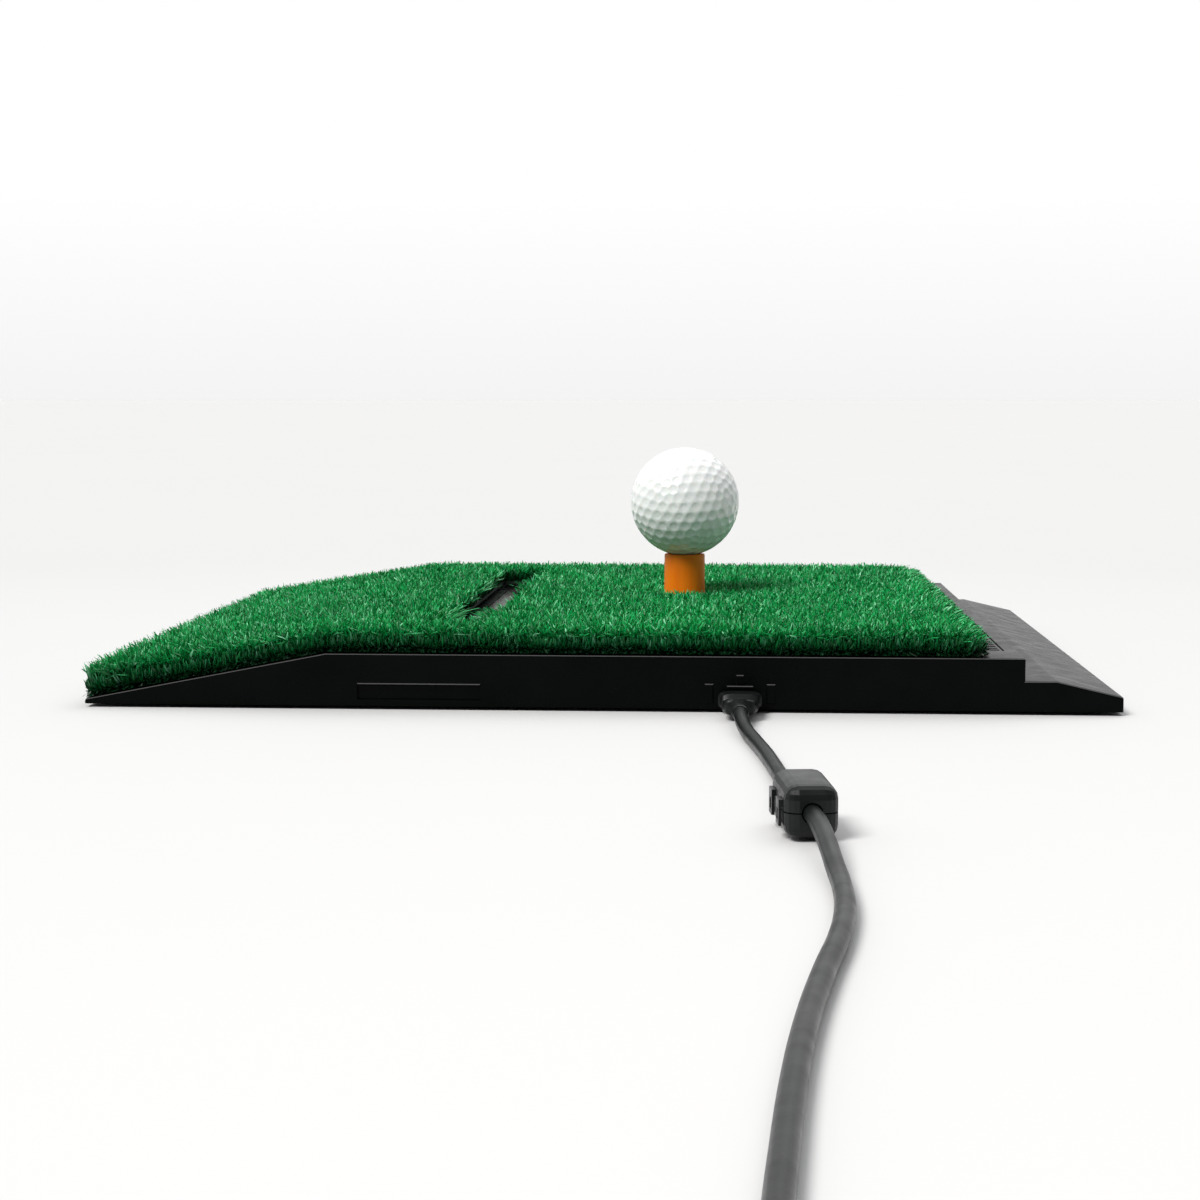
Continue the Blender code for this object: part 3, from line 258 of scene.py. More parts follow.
# ---------------------------------------------------------------- materials
class Shader:
    """A Principled material with helpers for procedural detail in object coordinates."""

    def __init__(self, name, color, roughness, metallic=0.0, specular=0.5, coat=0.0, sheen=0.0,
                 subsurface=0.0, ior=1.5, transmission=0.0):
        self.material = bpy.data.materials.new(name)
        self.material.use_nodes = True
        self.tree = self.material.node_tree
        self.bsdf = self.tree.nodes["Principled BSDF"]
        values = {"Base Color": (*color, 1.0), "Roughness": roughness, "Metallic": metallic,
                  "Specular IOR Level": specular, "Coat Weight": coat, "Coat Roughness": 0.12,
                  "Sheen Weight": sheen, "Subsurface Weight": subsurface, "IOR": ior,
                  "Transmission Weight": transmission}
        for socket, value in values.items():
            self.bsdf.inputs[socket].default_value = value
        if subsurface:
            self.bsdf.inputs["Subsurface Radius"].default_value = (1.0, 0.4, 0.2)
            self.bsdf.inputs["Subsurface Scale"].default_value = 0.002
        coordinates = self.tree.nodes.new("ShaderNodeTexCoord")
        self.place = coordinates.outputs["Object"]
        self.normal = coordinates.outputs["Normal"]

    def node(self, kind, **inputs):
        """A node with its inputs linked or set; an underscore in a name stands for a space."""
        made = self.tree.nodes.new(kind)
        for socket, value in inputs.items():
            self.link(value, made.inputs[socket.replace("_", " ")])
        return made

    def link(self, value, socket):
        if isinstance(value, bpy.types.NodeSocket):
            self.tree.links.new(value, socket)
        else:
            socket.default_value = value

    def stretched(self, scale):
        return self.node("ShaderNodeMapping", Vector=self.place, Scale=scale).outputs["Vector"]

    def noise(self, scale, detail=2.0, stretch=None, rough=0.5):
        where = self.place if stretch is None else self.stretched(stretch)
        return self.node("ShaderNodeTexNoise", Vector=where, Scale=scale, Detail=detail,
                         Roughness=rough).outputs["Fac"]

    def attribute(self, name):
        """A number stored on the mesh's points."""
        made = self.tree.nodes.new("ShaderNodeAttribute")
        made.attribute_name = name
        return made.outputs["Fac"]

    def ramp(self, factor, stops):
        """Colours at (position, colour) stops along factor."""
        made = self.node("ShaderNodeValToRGB", Fac=factor)
        ramp = made.color_ramp
        while len(ramp.elements) < len(stops):
            ramp.elements.new(0.5)
        for element, (position, color) in zip(ramp.elements, stops):
            element.position = position
            element.color = (*color, 1.0)
        return made.outputs["Color"]

    def spread(self, factor, low, high):
        """factor from 0.3 to 0.7 spread over low to high."""
        made = self.node("ShaderNodeMapRange", Value=factor)
        for socket, value in (("From Min", 0.3), ("From Max", 0.7), ("To Min", low), ("To Max", high)):
            made.inputs[socket].default_value = value
        return made.outputs["Result"]

    def multiply(self, first, second):
        made = self.tree.nodes.new("ShaderNodeMix")
        made.data_type = "RGBA"
        made.blend_type = "MULTIPLY"
        made.inputs[0].default_value = 1.0
        self.link(first, made.inputs[6])
        self.link(second, made.inputs[7])
        return made.outputs[2]

    def vary_color(self, factor, low, high):
        self.link(self.ramp(factor, ((0.3, low), (0.7, high))), self.bsdf.inputs["Base Color"])

    def vary_roughness(self, factor, low, high):
        self.link(self.spread(factor, low, high), self.bsdf.inputs["Roughness"])

    def paint_edge_highlight(self, color):
        """Paints a highlight into the base colour on the chamfers between walls and top faces, which
        face partly upwards.
        """
        socket = self.bsdf.inputs["Base Color"]
        plain = socket.links[0].from_socket
        upward = self.node("ShaderNodeSeparateXYZ", Vector=self.normal).outputs["Z"]
        # painted highlight: lighter base colour where the normal points partly upwards
        edge = self.ramp(upward, ((0.50, grey(0.0)), (0.62, grey(1.0)),
                                  (0.86, grey(1.0)), (0.94, grey(0.0))))
        made = self.tree.nodes.new("ShaderNodeMix")
        made.data_type = "RGBA"
        self.link(edge, made.inputs[0])
        self.link(plain, made.inputs[6])
        self.link((*color, 1.0), made.inputs[7])
        self.link(made.outputs[2], socket)

    def bump(self, *layers):
        """Layers of (height, distance in metres), laid over each other."""
        normal = None
        for height, distance in layers:
            made = self.node("ShaderNodeBump", Height=height, Distance=distance)
            if normal is not None:
                self.link(normal, made.inputs["Normal"])
            normal = made.outputs["Normal"]
        self.link(normal, self.bsdf.inputs["Normal"])


def moulded(name, dark, light, rough_low, rough_high, grain=2600.0, depth=0.00004, edges=None,
            **extra):
    """A moulded plastic or rubber with fine grain and slightly uneven gloss; given edges, its
    upward-facing chamfers get a painted highlight in that colour.
    """
    shader = Shader(name, light, rough_high, **extra)
    shader.vary_color(shader.noise(60.0, 4), dark, light)
    # edges is the colour of a painted highlight on the chamfers
    if edges:
        shader.paint_edge_highlight(edges)
    shader.vary_roughness(shader.noise(140.0, 3), rough_low, rough_high)
    shader.bump((shader.noise(grain, 2), depth), (shader.noise(35.0, 2), 0.00006))
    return shader.material


def metal(name, color, rough_low, rough_high):
    """A plated metal with fine brushed lines at right angles to Y."""
    shader = Shader(name, color, rough_high, metallic=1.0)
    shader.vary_color(shader.noise(90.0, 3), tuple(0.86 * c for c in color), color)
    shader.vary_roughness(shader.noise(700.0, 3, (1.0, 6.0, 1.0)), rough_low, rough_high)
    shader.bump((shader.noise(1500.0, 2, (1.0, 8.0, 1.0)), 0.00001))
    return shader.material


def turf_fibre():
    """Green fibre, painted darker towards its root as painted shade between the blades; each blade has
    its own tone, and the palest few are painted highlights that stand in for glints.
    """
    shader = Shader("turf_fibre", (0.0, 0.14, 0.045), 0.36, specular=0.35)
    # painted shade: each blade darkens from its tip down to its root
    along = shader.ramp(shader.attribute("along"), (
        (0.00, (0.0001, 0.016, 0.004)), (0.45, (0.0008, 0.172, 0.036)), (1.00, (0.0024, 0.425, 0.092))))
    # each blade's own tone; the stops near 1 paint the palest blades as painted highlights
    tone_and_glint = shader.ramp(shader.attribute("tone_and_glint"), (
        (0.00, (0.42, 0.48, 0.44)), (0.55, (1.00, 1.00, 1.00)), (0.82, (1.80, 1.15, 1.40)),
        (1.00, (120.0, 2.0, 5.2))))
    patch = shader.ramp(shader.noise(28.0, 3), ((0.35, (0.84, 0.86, 0.84)), (0.65, (1.05, 1.04, 1.04))))
    shader.link(shader.multiply(shader.multiply(along, tone_and_glint), patch), shader.bsdf.inputs["Base Color"])
    shader.vary_roughness(shader.noise(900.0, 2), 0.30, 0.50)
    return shader.material


def ball_cover():
    shader = Shader("ball_cover", (0.83, 0.85, 0.85), 0.25, coat=0.5, subsurface=0.06)
    shader.vary_color(shader.noise(120.0, 3), (0.80, 0.825, 0.825), (0.86, 0.875, 0.87))
    shader.vary_roughness(shader.noise(260.0, 3), 0.20, 0.32)
    shader.bump((shader.noise(2500.0, 2), 0.000006))
    return shader.material


def tee_rubber():
    shader = Shader("tee_rubber", (0.80, 0.22, 0.004), 0.5, specular=0.25, subsurface=0.15)
    shader.vary_color(shader.noise(150.0, 4, (1.0, 1.0, 0.25)),
                      (0.84, 0.180, 0.001), (0.96, 0.255, 0.003))
    shader.vary_roughness(shader.noise(300.0, 3), 0.38, 0.55)
    shader.bump((shader.noise(1800.0, 3), 0.00003), (shader.noise(90.0, 2, (1, 1, 0.3)), 0.00005))
    return shader.material


def circuit_board():
    """Green laminate with a pattern of tracks."""
    shader = Shader("circuit_board", (0.010, 0.090, 0.030), 0.4)
    tracks = shader.node("ShaderNodeTexBrick", Vector=shader.place, Scale=260.0)
    tracks.inputs["Mortar Size"].default_value = 0.08
    shader.link(shader.ramp(tracks.outputs["Fac"], ((0.4, (0.008, 0.085, 0.028)),
                                                    (0.6, (0.020, 0.160, 0.055)))),
                shader.bsdf.inputs["Base Color"])
    shader.vary_roughness(shader.noise(500.0, 2), 0.30, 0.45)
    shader.bump((tracks.outputs["Fac"], 0.00003))
    return shader.material


def woven(name, dark, light, scale, depth):
    """A coarse woven tape."""
    shader = Shader(name, light, 0.9, sheen=0.3)
    waves = shader.node("ShaderNodeTexWave", Vector=shader.place, Scale=scale, Distortion=1.0)
    shader.vary_color(waves.outputs["Fac"], dark, light)
    shader.bump((waves.outputs["Fac"], depth), (shader.noise(scale * 4, 2), depth))
    return shader.material


def lens_clear():
    shader = Shader("lens_clear", (0.55, 0.60, 0.68), 0.08, transmission=0.35, ior=1.5)
    shader.vary_color(shader.noise(400.0, 2), (0.48, 0.53, 0.62), (0.60, 0.64, 0.72))
    shader.vary_roughness(shader.noise(600.0, 2), 0.05, 0.14)
    return shader.material


def make_materials():
    return {
        # the housing's chamfers get a painted highlight, grey 0.07
        "housing_plastic": moulded("housing_plastic", (0.0005, 0.0014, 0.0009), (0.0012, 0.0022, 0.0017),
                                   0.24, 0.34, grain=3200.0, depth=0.00002, specular=0.05,
                                   edges=(0.07, 0.07, 0.07)),
        "infrared_plastic": moulded("infrared_plastic", (0.007, 0.002, 0.004), (0.014, 0.003, 0.006),
                                    0.22, 0.32, grain=900.0, depth=0.000004, specular=0.25),
        "turf_fibre": turf_fibre(),
        "turf_latex": moulded("turf_latex", (0.003, 0.012, 0.006), (0.008, 0.030, 0.014), 0.7, 0.95,
                              grain=1200.0, depth=0.00015),
        "hook_tape": woven("hook_tape", (0.008, 0.008, 0.008), (0.030, 0.030, 0.031), 900.0, 0.0001),
        "rubber_black": moulded("rubber_black", (0.010, 0.010, 0.010), (0.022, 0.022, 0.022), 0.6, 0.85,
                                grain=1500.0, depth=0.00006),
        "tee_rubber": tee_rubber(),
        "ball_cover": ball_cover(),
        "circuit_board": circuit_board(),
        "chip_plastic": moulded("chip_plastic", (0.020, 0.020, 0.022), (0.034, 0.034, 0.036), 0.4, 0.55),
        "header_plastic": moulded("header_plastic", (0.58, 0.57, 0.52), (0.70, 0.69, 0.65), 0.35, 0.5),
        "lens_clear": lens_clear(),
        "plated_steel": metal("plated_steel", (0.60, 0.60, 0.61), 0.18, 0.34),
        "lead_jacket": moulded("lead_jacket", (0.005, 0.006, 0.006), (0.009, 0.011, 0.011), 0.28, 0.40,
                               grain=2200.0, depth=0.00002, specular=0.22),
        "ferrite_core": moulded("ferrite_core", (0.020, 0.019, 0.021), (0.045, 0.043, 0.046), 0.45, 0.7,
                                grain=1800.0, depth=0.00008),
        "strap_fabric": woven("strap_fabric", (0.006, 0.006, 0.007), (0.028, 0.028, 0.030),
                              1400.0, 0.00008),
    }


# ---------------------------------------------------------------- making pieces
def place_mesh(name, mesh, body, slot_name, *nodes):
    """Links a mesh as a piece that rides on a body and stands for CAD nodes."""
    mesh.materials.append(MATERIALS[slot_name])
    piece = bpy.data.objects.new(name, mesh)
    bpy.context.collection.objects.link(piece)
    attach(piece, body)
    if nodes:
        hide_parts(*nodes)
    return piece


def finish_bmesh(bm, name, angle=40.0):
    """A shaded mesh from a bmesh, sharp where its faces turn by more than angle, in degrees."""
    bmesh.ops.recalc_face_normals(bm, faces=bm.faces[:])
    mesh = bpy.data.meshes.new(name)
    bm.to_mesh(mesh)
    bm.free()
    mesh.shade_smooth()
    mesh.set_sharp_from_angle(angle=math.radians(angle))
    return mesh


def quad_mesh(name, points, quads):
    """A mesh from arrays of points and quads."""
    mesh = bpy.data.meshes.new(name)
    mesh.vertices.add(len(points))
    mesh.vertices.foreach_set("co", points.astype(np.float32).ravel())
    mesh.loops.add(quads.size)
    mesh.loops.foreach_set("vertex_index", quads.astype(np.int32).ravel())
    mesh.polygons.add(len(quads))
    mesh.polygons.foreach_set("loop_start", np.arange(0, quads.size, 4, dtype=np.int32))
    mesh.update(calc_edges=True)
    mesh.shade_smooth()
    return mesh


# ---------------------------------------------------------------- turf
BLADES = 150000
FRINGE = 26000
BLADE_POINTS = 4
STRIPS = 7
SEED = 20
BLADE_WIDTH = 0.00085
BLADE_SHAPE = (0.9, 1.0, 0.85, 0.30)    # width at the blade's points, as a share of its own width
CRIMP = 0.00042             # how far a blade's points stray from its curve
EDGE_REACH = 0.0032         # depth of the row that leans out over the turf's edge
SLOT_REACH = 0.0030         # and of the row that leans over the sensor slot
SLOT_SHUT_Y = -0.070        # the slot is covered from its near end to here
CLUMP_Y = 0.030             # and at one clump further on
OVERHANG_LEFT = 0.0040      # how far the pile may stand out past the backing
OVERHANG_RIGHT = 0.0080
OVERHANG_Y = 0.0052
FRINGE_REACH = (0.0040, 0.0040, 0.0030, 0.0048)     # near, far, left and right
FRINGE_RISE = (-0.0030, 0.0052)


def pile_height(x):
    """Pile above the backing, measured upwards, at x."""
    share = np.clip((x - TURF_LEFT_X) / (RAMP_TOP_X - TURF_LEFT_X), 0.0, 1.0)
    top = PILE_LEFT_TOP_Z + share * (PILE_TOP_Z - PILE_LEFT_TOP_Z)
    return top - backing_z(x)


def backing_z(x):
    """Top of the turf's backing at x."""
    return DECK_Z + np.minimum(0.0, x - RAMP_TOP_X) * RAMP_SLOPE + BACKING_TOP


def blade_roots(rng):
    """Root places over the backing, clear of the sensor slot and the tee's hole."""
    x = rng.uniform(TURF_LEFT_X, TURF_RIGHT_X, 2 * BLADES)
    y = rng.uniform(-TURF_HALF_Y, TURF_HALF_Y, 2 * BLADES)
    in_slot = (np.abs(x - SLOT_X) < SLOT_HALF_X) & (np.abs(y) < SLOT_HALF_Y)
    in_hole = np.hypot(x - TEE_X, y - TEE_Y) < TEE_HOLE
    keep = np.flatnonzero(~(in_slot | in_hole))[:BLADES]
    order = keep[np.argsort(x[keep], kind="stable")]
    return x[order], y[order]


def outward_push(x, y):
    """How strongly a blade near the turf's edge leans out over it, as a vector."""
    right = np.exp((x - TURF_RIGHT_X) / EDGE_REACH)
    left = np.exp((TURF_LEFT_X - x) / EDGE_REACH)
    far = np.exp((y - TURF_HALF_Y) / EDGE_REACH)
    near = np.exp((-TURF_HALF_Y - y) / EDGE_REACH)
    return right * 0.75 - left * 0.30, (far - near) * 0.45


def slot_cover(y):
    """How far the blades beside the sensor slot close over it: shut at the near end, open beyond."""
    shut = 1.0 / (1.0 + np.exp((y - SLOT_SHUT_Y) / 0.004))
    clump = np.exp(-((y - CLUMP_Y) / 0.010) ** 2) * 0.80
    ragged = 0.14 * np.sin(y * 230.0) + 0.10 * np.sin(y * 610.0 + 1.0)
    return np.clip(-0.30 + 1.20 * shut + clump + ragged, -0.45, 0.90)


def slot_push(x, y):
    """How strongly a blade beside the sensor slot leans over it, along X."""
    inside = SLOT_HALF_X - np.abs(x - SLOT_X)
    lean = np.exp(np.minimum(inside, 0.0) / SLOT_REACH) * slot_cover(y)
    return np.where(np.abs(y) < SLOT_HALF_Y, -np.sign(x - SLOT_X) * lean, 0.0)


def tuck(values, edge, side, reach):
    """Holds the blades' points within reach of an edge; side is -1 or 1."""
    over = np.maximum((values - edge) * side, 0.0)
    return np.where(over > 0.0, edge + side * reach * (1.0 - np.exp(-over / reach)), values)


def pile_blades(rng):
    """Centre lines of the pile's blades, and how far along each blade its points lie."""
    x, y = blade_roots(rng)
    count = len(x)
    height = pile_height(x) * np.clip(rng.normal(0.99, 0.12, count), 0.45, 1.20)
    heading = rng.uniform(0.0, 2 * math.pi, count)
    lean = np.abs(rng.normal(0.0, 0.42, count)) + 0.08
    push_x, push_y = outward_push(x, y)
    reach_x = np.cos(heading) * lean + push_x + slot_push(x, y)
    reach_y = np.sin(heading) * lean + push_y
    droop = np.clip(np.hypot(push_x, push_y), 0.0, 1.0)

    t = np.linspace(0.0, 1.0, BLADE_POINTS)[None, :]
    bend = rng.uniform(1.2, 2.4, count)[:, None]
    crimp = rng.normal(0.0, CRIMP, (count, BLADE_POINTS, 2)) * (t[..., None] > 0)
    line = np.empty((count, BLADE_POINTS, 3))
    line[..., 0] = x[:, None] + height[:, None] * reach_x[:, None] * t ** bend + crimp[..., 0]
    line[..., 1] = y[:, None] + height[:, None] * reach_y[:, None] * t ** bend + crimp[..., 1]
    for axis, low, high, below, above in (
            (0, TURF_LEFT_X, TURF_RIGHT_X, OVERHANG_LEFT, OVERHANG_RIGHT),
            (1, -TURF_HALF_Y, TURF_HALF_Y, OVERHANG_Y, OVERHANG_Y)):
        line[..., axis] = tuck(tuck(line[..., axis], low, -1, below), high, 1, above)
    rise = t - 0.30 * np.clip(lean[:, None], 0, 1) * t ** 3 - 0.45 * droop[:, None] * t ** 2
    line[..., 2] = backing_z(x)[:, None] + height[:, None] * rise
    return line, np.broadcast_to(t, (count, BLADE_POINTS))


def fringe_blades(rng):
    """Short blades round the edge that hang over the backing's side, painted darker as painted shade."""
    width = TURF_RIGHT_X - TURF_LEFT_X
    depth = 2 * TURF_HALF_Y
    place = rng.uniform(0.0, 2 * (width + depth), FRINGE)
    side = np.digitize(place, np.cumsum([width, width, depth]))
    share_x = TURF_LEFT_X + np.mod(place, width)
    share_y = np.mod(place - 2 * width, depth) - TURF_HALF_Y
    x = np.choose(side, [share_x, share_x, TURF_LEFT_X, TURF_RIGHT_X])
    y = np.choose(side, [-TURF_HALF_Y, TURF_HALF_Y, share_y, share_y])
    out_x = np.choose(side, [0.0, 0.0, -1.0, 1.0])
    out_y = np.choose(side, [-1.0, 1.0, 0.0, 0.0])
    reach = np.choose(side, FRINGE_REACH) * rng.uniform(0.35, 1.0, FRINGE)
    aside = rng.normal(0.0, 0.0014, FRINGE)
    rise = rng.uniform(*FRINGE_RISE, FRINGE)
    t = np.linspace(0.0, 1.0, BLADE_POINTS)[None, :]
    line = np.empty((FRINGE, BLADE_POINTS, 3))
    line[..., 0] = x[:, None] + (out_x * reach + np.abs(out_y) * aside)[:, None] * t ** 0.8
    line[..., 1] = y[:, None] + (out_y * reach + np.abs(out_x) * aside)[:, None] * t ** 0.8
    root = backing_z(x) - rng.uniform(0.0, 0.7, FRINGE) * BACKING_TOP
    line[..., 2] = root[:, None] + rise[:, None] * t ** 1.5
    ground = np.where(line[..., 0] > -HALF_LENGTH, backing_z(line[..., 0]) - BACKING_TOP, 0.0)
    line[..., 2] = np.maximum(line[..., 2], ground + 0.0005)
    # painted shade: the lower a fringe blade hangs, the darker its colour
    along = (0.05 + 0.5 * np.clip(rise / FRINGE_RISE[1], 0.0, 1.0))[:, None] * t
    return line, along


def make_turf():
    """All the blades, as flat ribbons in strips from left to right."""
    rng = np.random.default_rng(SEED)
    pile, pile_along = pile_blades(rng)
    fringe, fringe_along = fringe_blades(rng)
    line = np.concatenate([pile, fringe])
    shade = np.concatenate([pile_along, fringe_along])
    order = np.argsort(line[:, 0, 0], kind="stable")
    line = line[order]
    shade = shade[order]
    count = len(line)

    t = np.linspace(0.0, 1.0, BLADE_POINTS)[None, :]
    facing = rng.uniform(0.0, 2 * math.pi, count)[:, None]
    facing = facing + rng.normal(0.0, 1.3, count)[:, None] * t
    tilt = rng.normal(0.0, 0.35, (count, 1)) * np.ones_like(t)
    widths = BLADE_WIDTH * rng.uniform(0.75, 1.25, count)[:, None] * np.array([BLADE_SHAPE])
    across = np.stack([np.cos(facing) * np.cos(tilt), np.sin(facing) * np.cos(tilt), np.sin(tilt)],
                      axis=-1)
    across *= widths[..., None] / 2
    points = np.stack([line - across, line + across], axis=2)
    # along carries the painted shade towards the roots; the per-blade number carries each blade's tone
    # and, for the palest, a painted highlight
    along = np.broadcast_to(shade[..., None], (count, BLADE_POINTS, 2))
    tone_and_glint = np.broadcast_to(rng.uniform(0.0, 1.0, count)[:, None, None], (count, BLADE_POINTS, 2))

    step = np.arange(BLADE_POINTS - 1)
    one_blade = np.stack([2 * step, 2 * step + 1, 2 * step + 3, 2 * step + 2], axis=1)
    for strip in range(STRIPS):
        low = strip * count // STRIPS
        high = (strip + 1) * count // STRIPS
        first = np.arange(high - low)[:, None, None] * 2 * BLADE_POINTS
        quads = (first + one_blade[None]).reshape(-1, 4)
        mesh = quad_mesh(f"turf_blades_{strip + 1}", points[low:high].reshape(-1, 3), quads)
        for label, values in (("along", along), ("tone_and_glint", tone_and_glint)):
            layer = mesh.attributes.new(label, "FLOAT", "POINT")
            layer.data.foreach_set("value", values[low:high].astype(np.float32).ravel())
        place_mesh(mesh.name, mesh, "pad", "turf_fibre", "turf_pile")


# ---------------------------------------------------------------- ball and tee
DIMPLE_FREQUENCY = 6        # dimples along one edge of the icosahedron: 362 in all
DIMPLE_RADIUS = 0.00178
DIMPLE_DEPTH = 0.00030
TEE_LIP = 0.0005            # radius of the tee's outer rims
TEE_INNER_LIP = 0.0003


def dimple_centres(frequency):
    """Unit vectors of an icosahedral grid, turned so that its seams don't face the front."""
    bm = bmesh.new()
    bmesh.ops.create_icosphere(bm, subdivisions=1, radius=1.0)
    found = {}
    for face in bm.faces:
        a, b, c = (vert.co for vert in face.verts)
        for i in range(frequency + 1):
            for j in range(frequency + 1 - i):
                point = (a * i + b * j + c * (frequency - i - j)).normalized()
                found[tuple(round(value, 4) for value in point)] = point
    bm.free()
    turn = Matrix.Rotation(math.radians(14), 3, "X") @ Matrix.Rotation(math.radians(31), 3, "Z")
    return np.array([turn @ point for point in found.values()])


def make_ball():
    """A sphere with a rounded bowl pressed in at each dimple's centre."""
    bm = bmesh.new()
    bmesh.ops.create_icosphere(bm, subdivisions=7, radius=1.0)
    mesh = bpy.data.meshes.new("dimpled_ball")
    bm.to_mesh(mesh)
    bm.free()
    points = np.empty(len(mesh.vertices) * 3)
    mesh.vertices.foreach_get("co", points)
    points = points.reshape(-1, 3)
    points /= np.linalg.norm(points, axis=1)[:, None]
    closest = (points @ dimple_centres(DIMPLE_FREQUENCY).T).max(axis=1)
    distance = np.arccos(np.clip(closest, -1.0, 1.0)) * BALL_RADIUS / DIMPLE_RADIUS
    bowl = np.clip(1.0 - distance ** 2, 0.0, 1.0)
    depth = DIMPLE_DEPTH * (bowl ** 0.75)
    points = points * (BALL_RADIUS - depth)[:, None] + np.array(BALL_CENTRE)
    mesh.vertices.foreach_set("co", points.astype(np.float32).ravel())
    mesh.update()
    mesh.shade_smooth()
    place_mesh("dimpled_ball", mesh, "ball", "ball_cover", "golf_ball")


def turned_mesh(name, profile, centre, segments):
    """A closed profile of (radius, z) points turned about a vertical axis."""
    bm = bmesh.new()
    verts = [bm.verts.new((centre[0] + r, centre[1], centre[2] + z)) for r, z in profile]
    edges = [bm.edges.new(pair) for pair in zip(verts, verts[1:] + verts[:1])]
    bmesh.ops.spin(bm, geom=verts + edges, cent=centre, axis=(0, 0, 1), angle=2 * math.pi,
                   steps=segments, use_merge=True)
    bmesh.ops.remove_doubles(bm, verts=bm.verts[:], dist=1e-6)
    return finish_bmesh(bm, name)


def arc(centre, radius, start, end, steps=5):
    """Points on an arc in the profile's plane; angles in degrees."""
    angles = [math.radians(start + (end - start) * i / steps) for i in range(steps + 1)]
    return [(centre[0] + radius * math.cos(a), centre[1] + radius * math.sin(a)) for a in angles]


def make_tee():
    """A slightly tapered tube with rounded rims and a cupped mouth."""
    height = TEE_TOP_Z - TEE_BOTTOM_Z - 2 * TEE_LIP
    rings = 12
    profile = [(TEE_BORE, TEE_BOTTOM_Z)]
    profile += arc((TEE_BASE_RADIUS - TEE_LIP, TEE_BOTTOM_Z + TEE_LIP), TEE_LIP, -90, -10)
    for step in range(1, rings):
        share = step / rings
        radius = TEE_BASE_RADIUS + (TEE_TOP_RADIUS - TEE_BASE_RADIUS) * share
        profile.append((radius, TEE_BOTTOM_Z + TEE_LIP + height * share))
    profile += arc((TEE_TOP_RADIUS - TEE_LIP, TEE_TOP_Z - TEE_LIP), TEE_LIP, 5, 90)
    profile += arc((TEE_CUP + TEE_INNER_LIP, TEE_TOP_Z - TEE_INNER_LIP), TEE_INNER_LIP, 95, 170, 3)
    profile += [(TEE_BORE + 0.0002, TEE_TOP_Z - 0.0016), (TEE_BORE, TEE_TOP_Z - 0.0024)]
    mesh = turned_mesh("tubular_tee", profile, Vector((TEE_X, TEE_Y, 0.0)), 72)
    place_mesh("tubular_tee", mesh, "tee", "tee_rubber", "rubber_tee")


# ---------------------------------------------------------------- lead
COIL_CROSSING = 0.20        # part of a turn in which the lead moves to its next place
COIL_LEAVING = 0.13         # part of a turn in which the tail leaves the ring
POINTS_PER_TURN = 20


def coil_slot(turn):
    """Radius and height of a whole turn: in and out over the columns, layer by layer."""
    layer, column = divmod(turn, COIL_COLUMNS)
    if layer % 2 == 0:
        column = COIL_COLUMNS - 1 - column
    return COIL_INNER + column * COIL_PITCH, COIL_LOW_Z + layer * COIL_PITCH


def ease(share):
    """0 to 1, slow at both ends."""
    share = min(1.0, max(0.0, share))
    return share * share * (3.0 - 2.0 * share)


def coil_points():
    """The wound lead, clockwise from above, from the lead's side of the ring to the tail's."""
    points = []
    for step in range(round(COIL_TURNS * POINTS_PER_TURN) + 1):
        turns = step / POINTS_PER_TURN
        turn = int(turns)
        radius, height = coil_slot(turn)
        start_radius, start_height = (COIL_SIDE, COIL_LOW_Z) if turn == 0 else coil_slot(turn - 1)
        share = ease((turns - turn) / COIL_CROSSING)
        radius = start_radius + (radius - start_radius) * share
        height = start_height + (height - start_height) * share
        radius += (COIL_SIDE - radius) * ease((turns - COIL_TURNS + COIL_LEAVING) / COIL_LEAVING)
        angle = -2 * math.pi * turns
        points.append(COIL_CENTRE + Vector((radius * math.cos(angle), radius * math.sin(angle), height)))
    return points


def make_lead():
    """The lead as one smooth tube through the points of its route."""
    points = [Vector(p) for p in CABLE_ROUTE] + coil_points() + [Vector(p) for p in TAIL_ROUTE]
    curve = bpy.data.curves.new("usb_lead_cord", "CURVE")
    curve.dimensions = "3D"
    curve.resolution_u = 5
    spline = curve.splines.new("BEZIER")
    spline.bezier_points.add(len(points) - 1)
    for knot, point in zip(spline.bezier_points, points):
        knot.co = point
        knot.handle_left_type = "AUTO"
        knot.handle_right_type = "AUTO"
    curve.bevel_depth = CABLE_RADIUS
    curve.bevel_resolution = 4
    curve.use_fill_caps = True
    curve.materials.append(MATERIALS["lead_jacket"])
    cord = bpy.data.objects.new("usb_lead_cord", curve)
    bpy.context.collection.objects.link(cord)
    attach(cord, "usb_lead")
    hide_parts("usb_cable", "cable_coil", "cable_tail")
    return cord


# ---------------------------------------------------------------- plugs
def loft_mesh(name, sections, power=4.0, segments=40):
    """Sections of (centre, half across, half up, across, up) joined into a body.

    A power of 2 gives ellipses, and a higher power gives rounded rectangles.
    """
    bm = bmesh.new()
    rings = []
    for centre, half_across, half_up, across, up in sections:
        ring = []
        for step in range(segments):
            angle = 2 * math.pi * (step + 0.5) / segments
            c, s = math.cos(angle), math.sin(angle)
            u = math.copysign(abs(c) ** (2 / power), c) * half_across
            v = math.copysign(abs(s) ** (2 / power), s) * half_up
            ring.append(bm.verts.new(Vector(centre) + Vector(across) * u + Vector(up) * v))
        rings.append(ring)
    for first, second in zip(rings, rings[1:]):
        for i in range(segments):
            j = (i + 1) % segments
            bm.faces.new((first[i], first[j], second[j], second[i]))
    bm.faces.new(rings[0][::-1])
    bm.faces.new(rings[-1])
    return finish_bmesh(bm, name, 50.0)


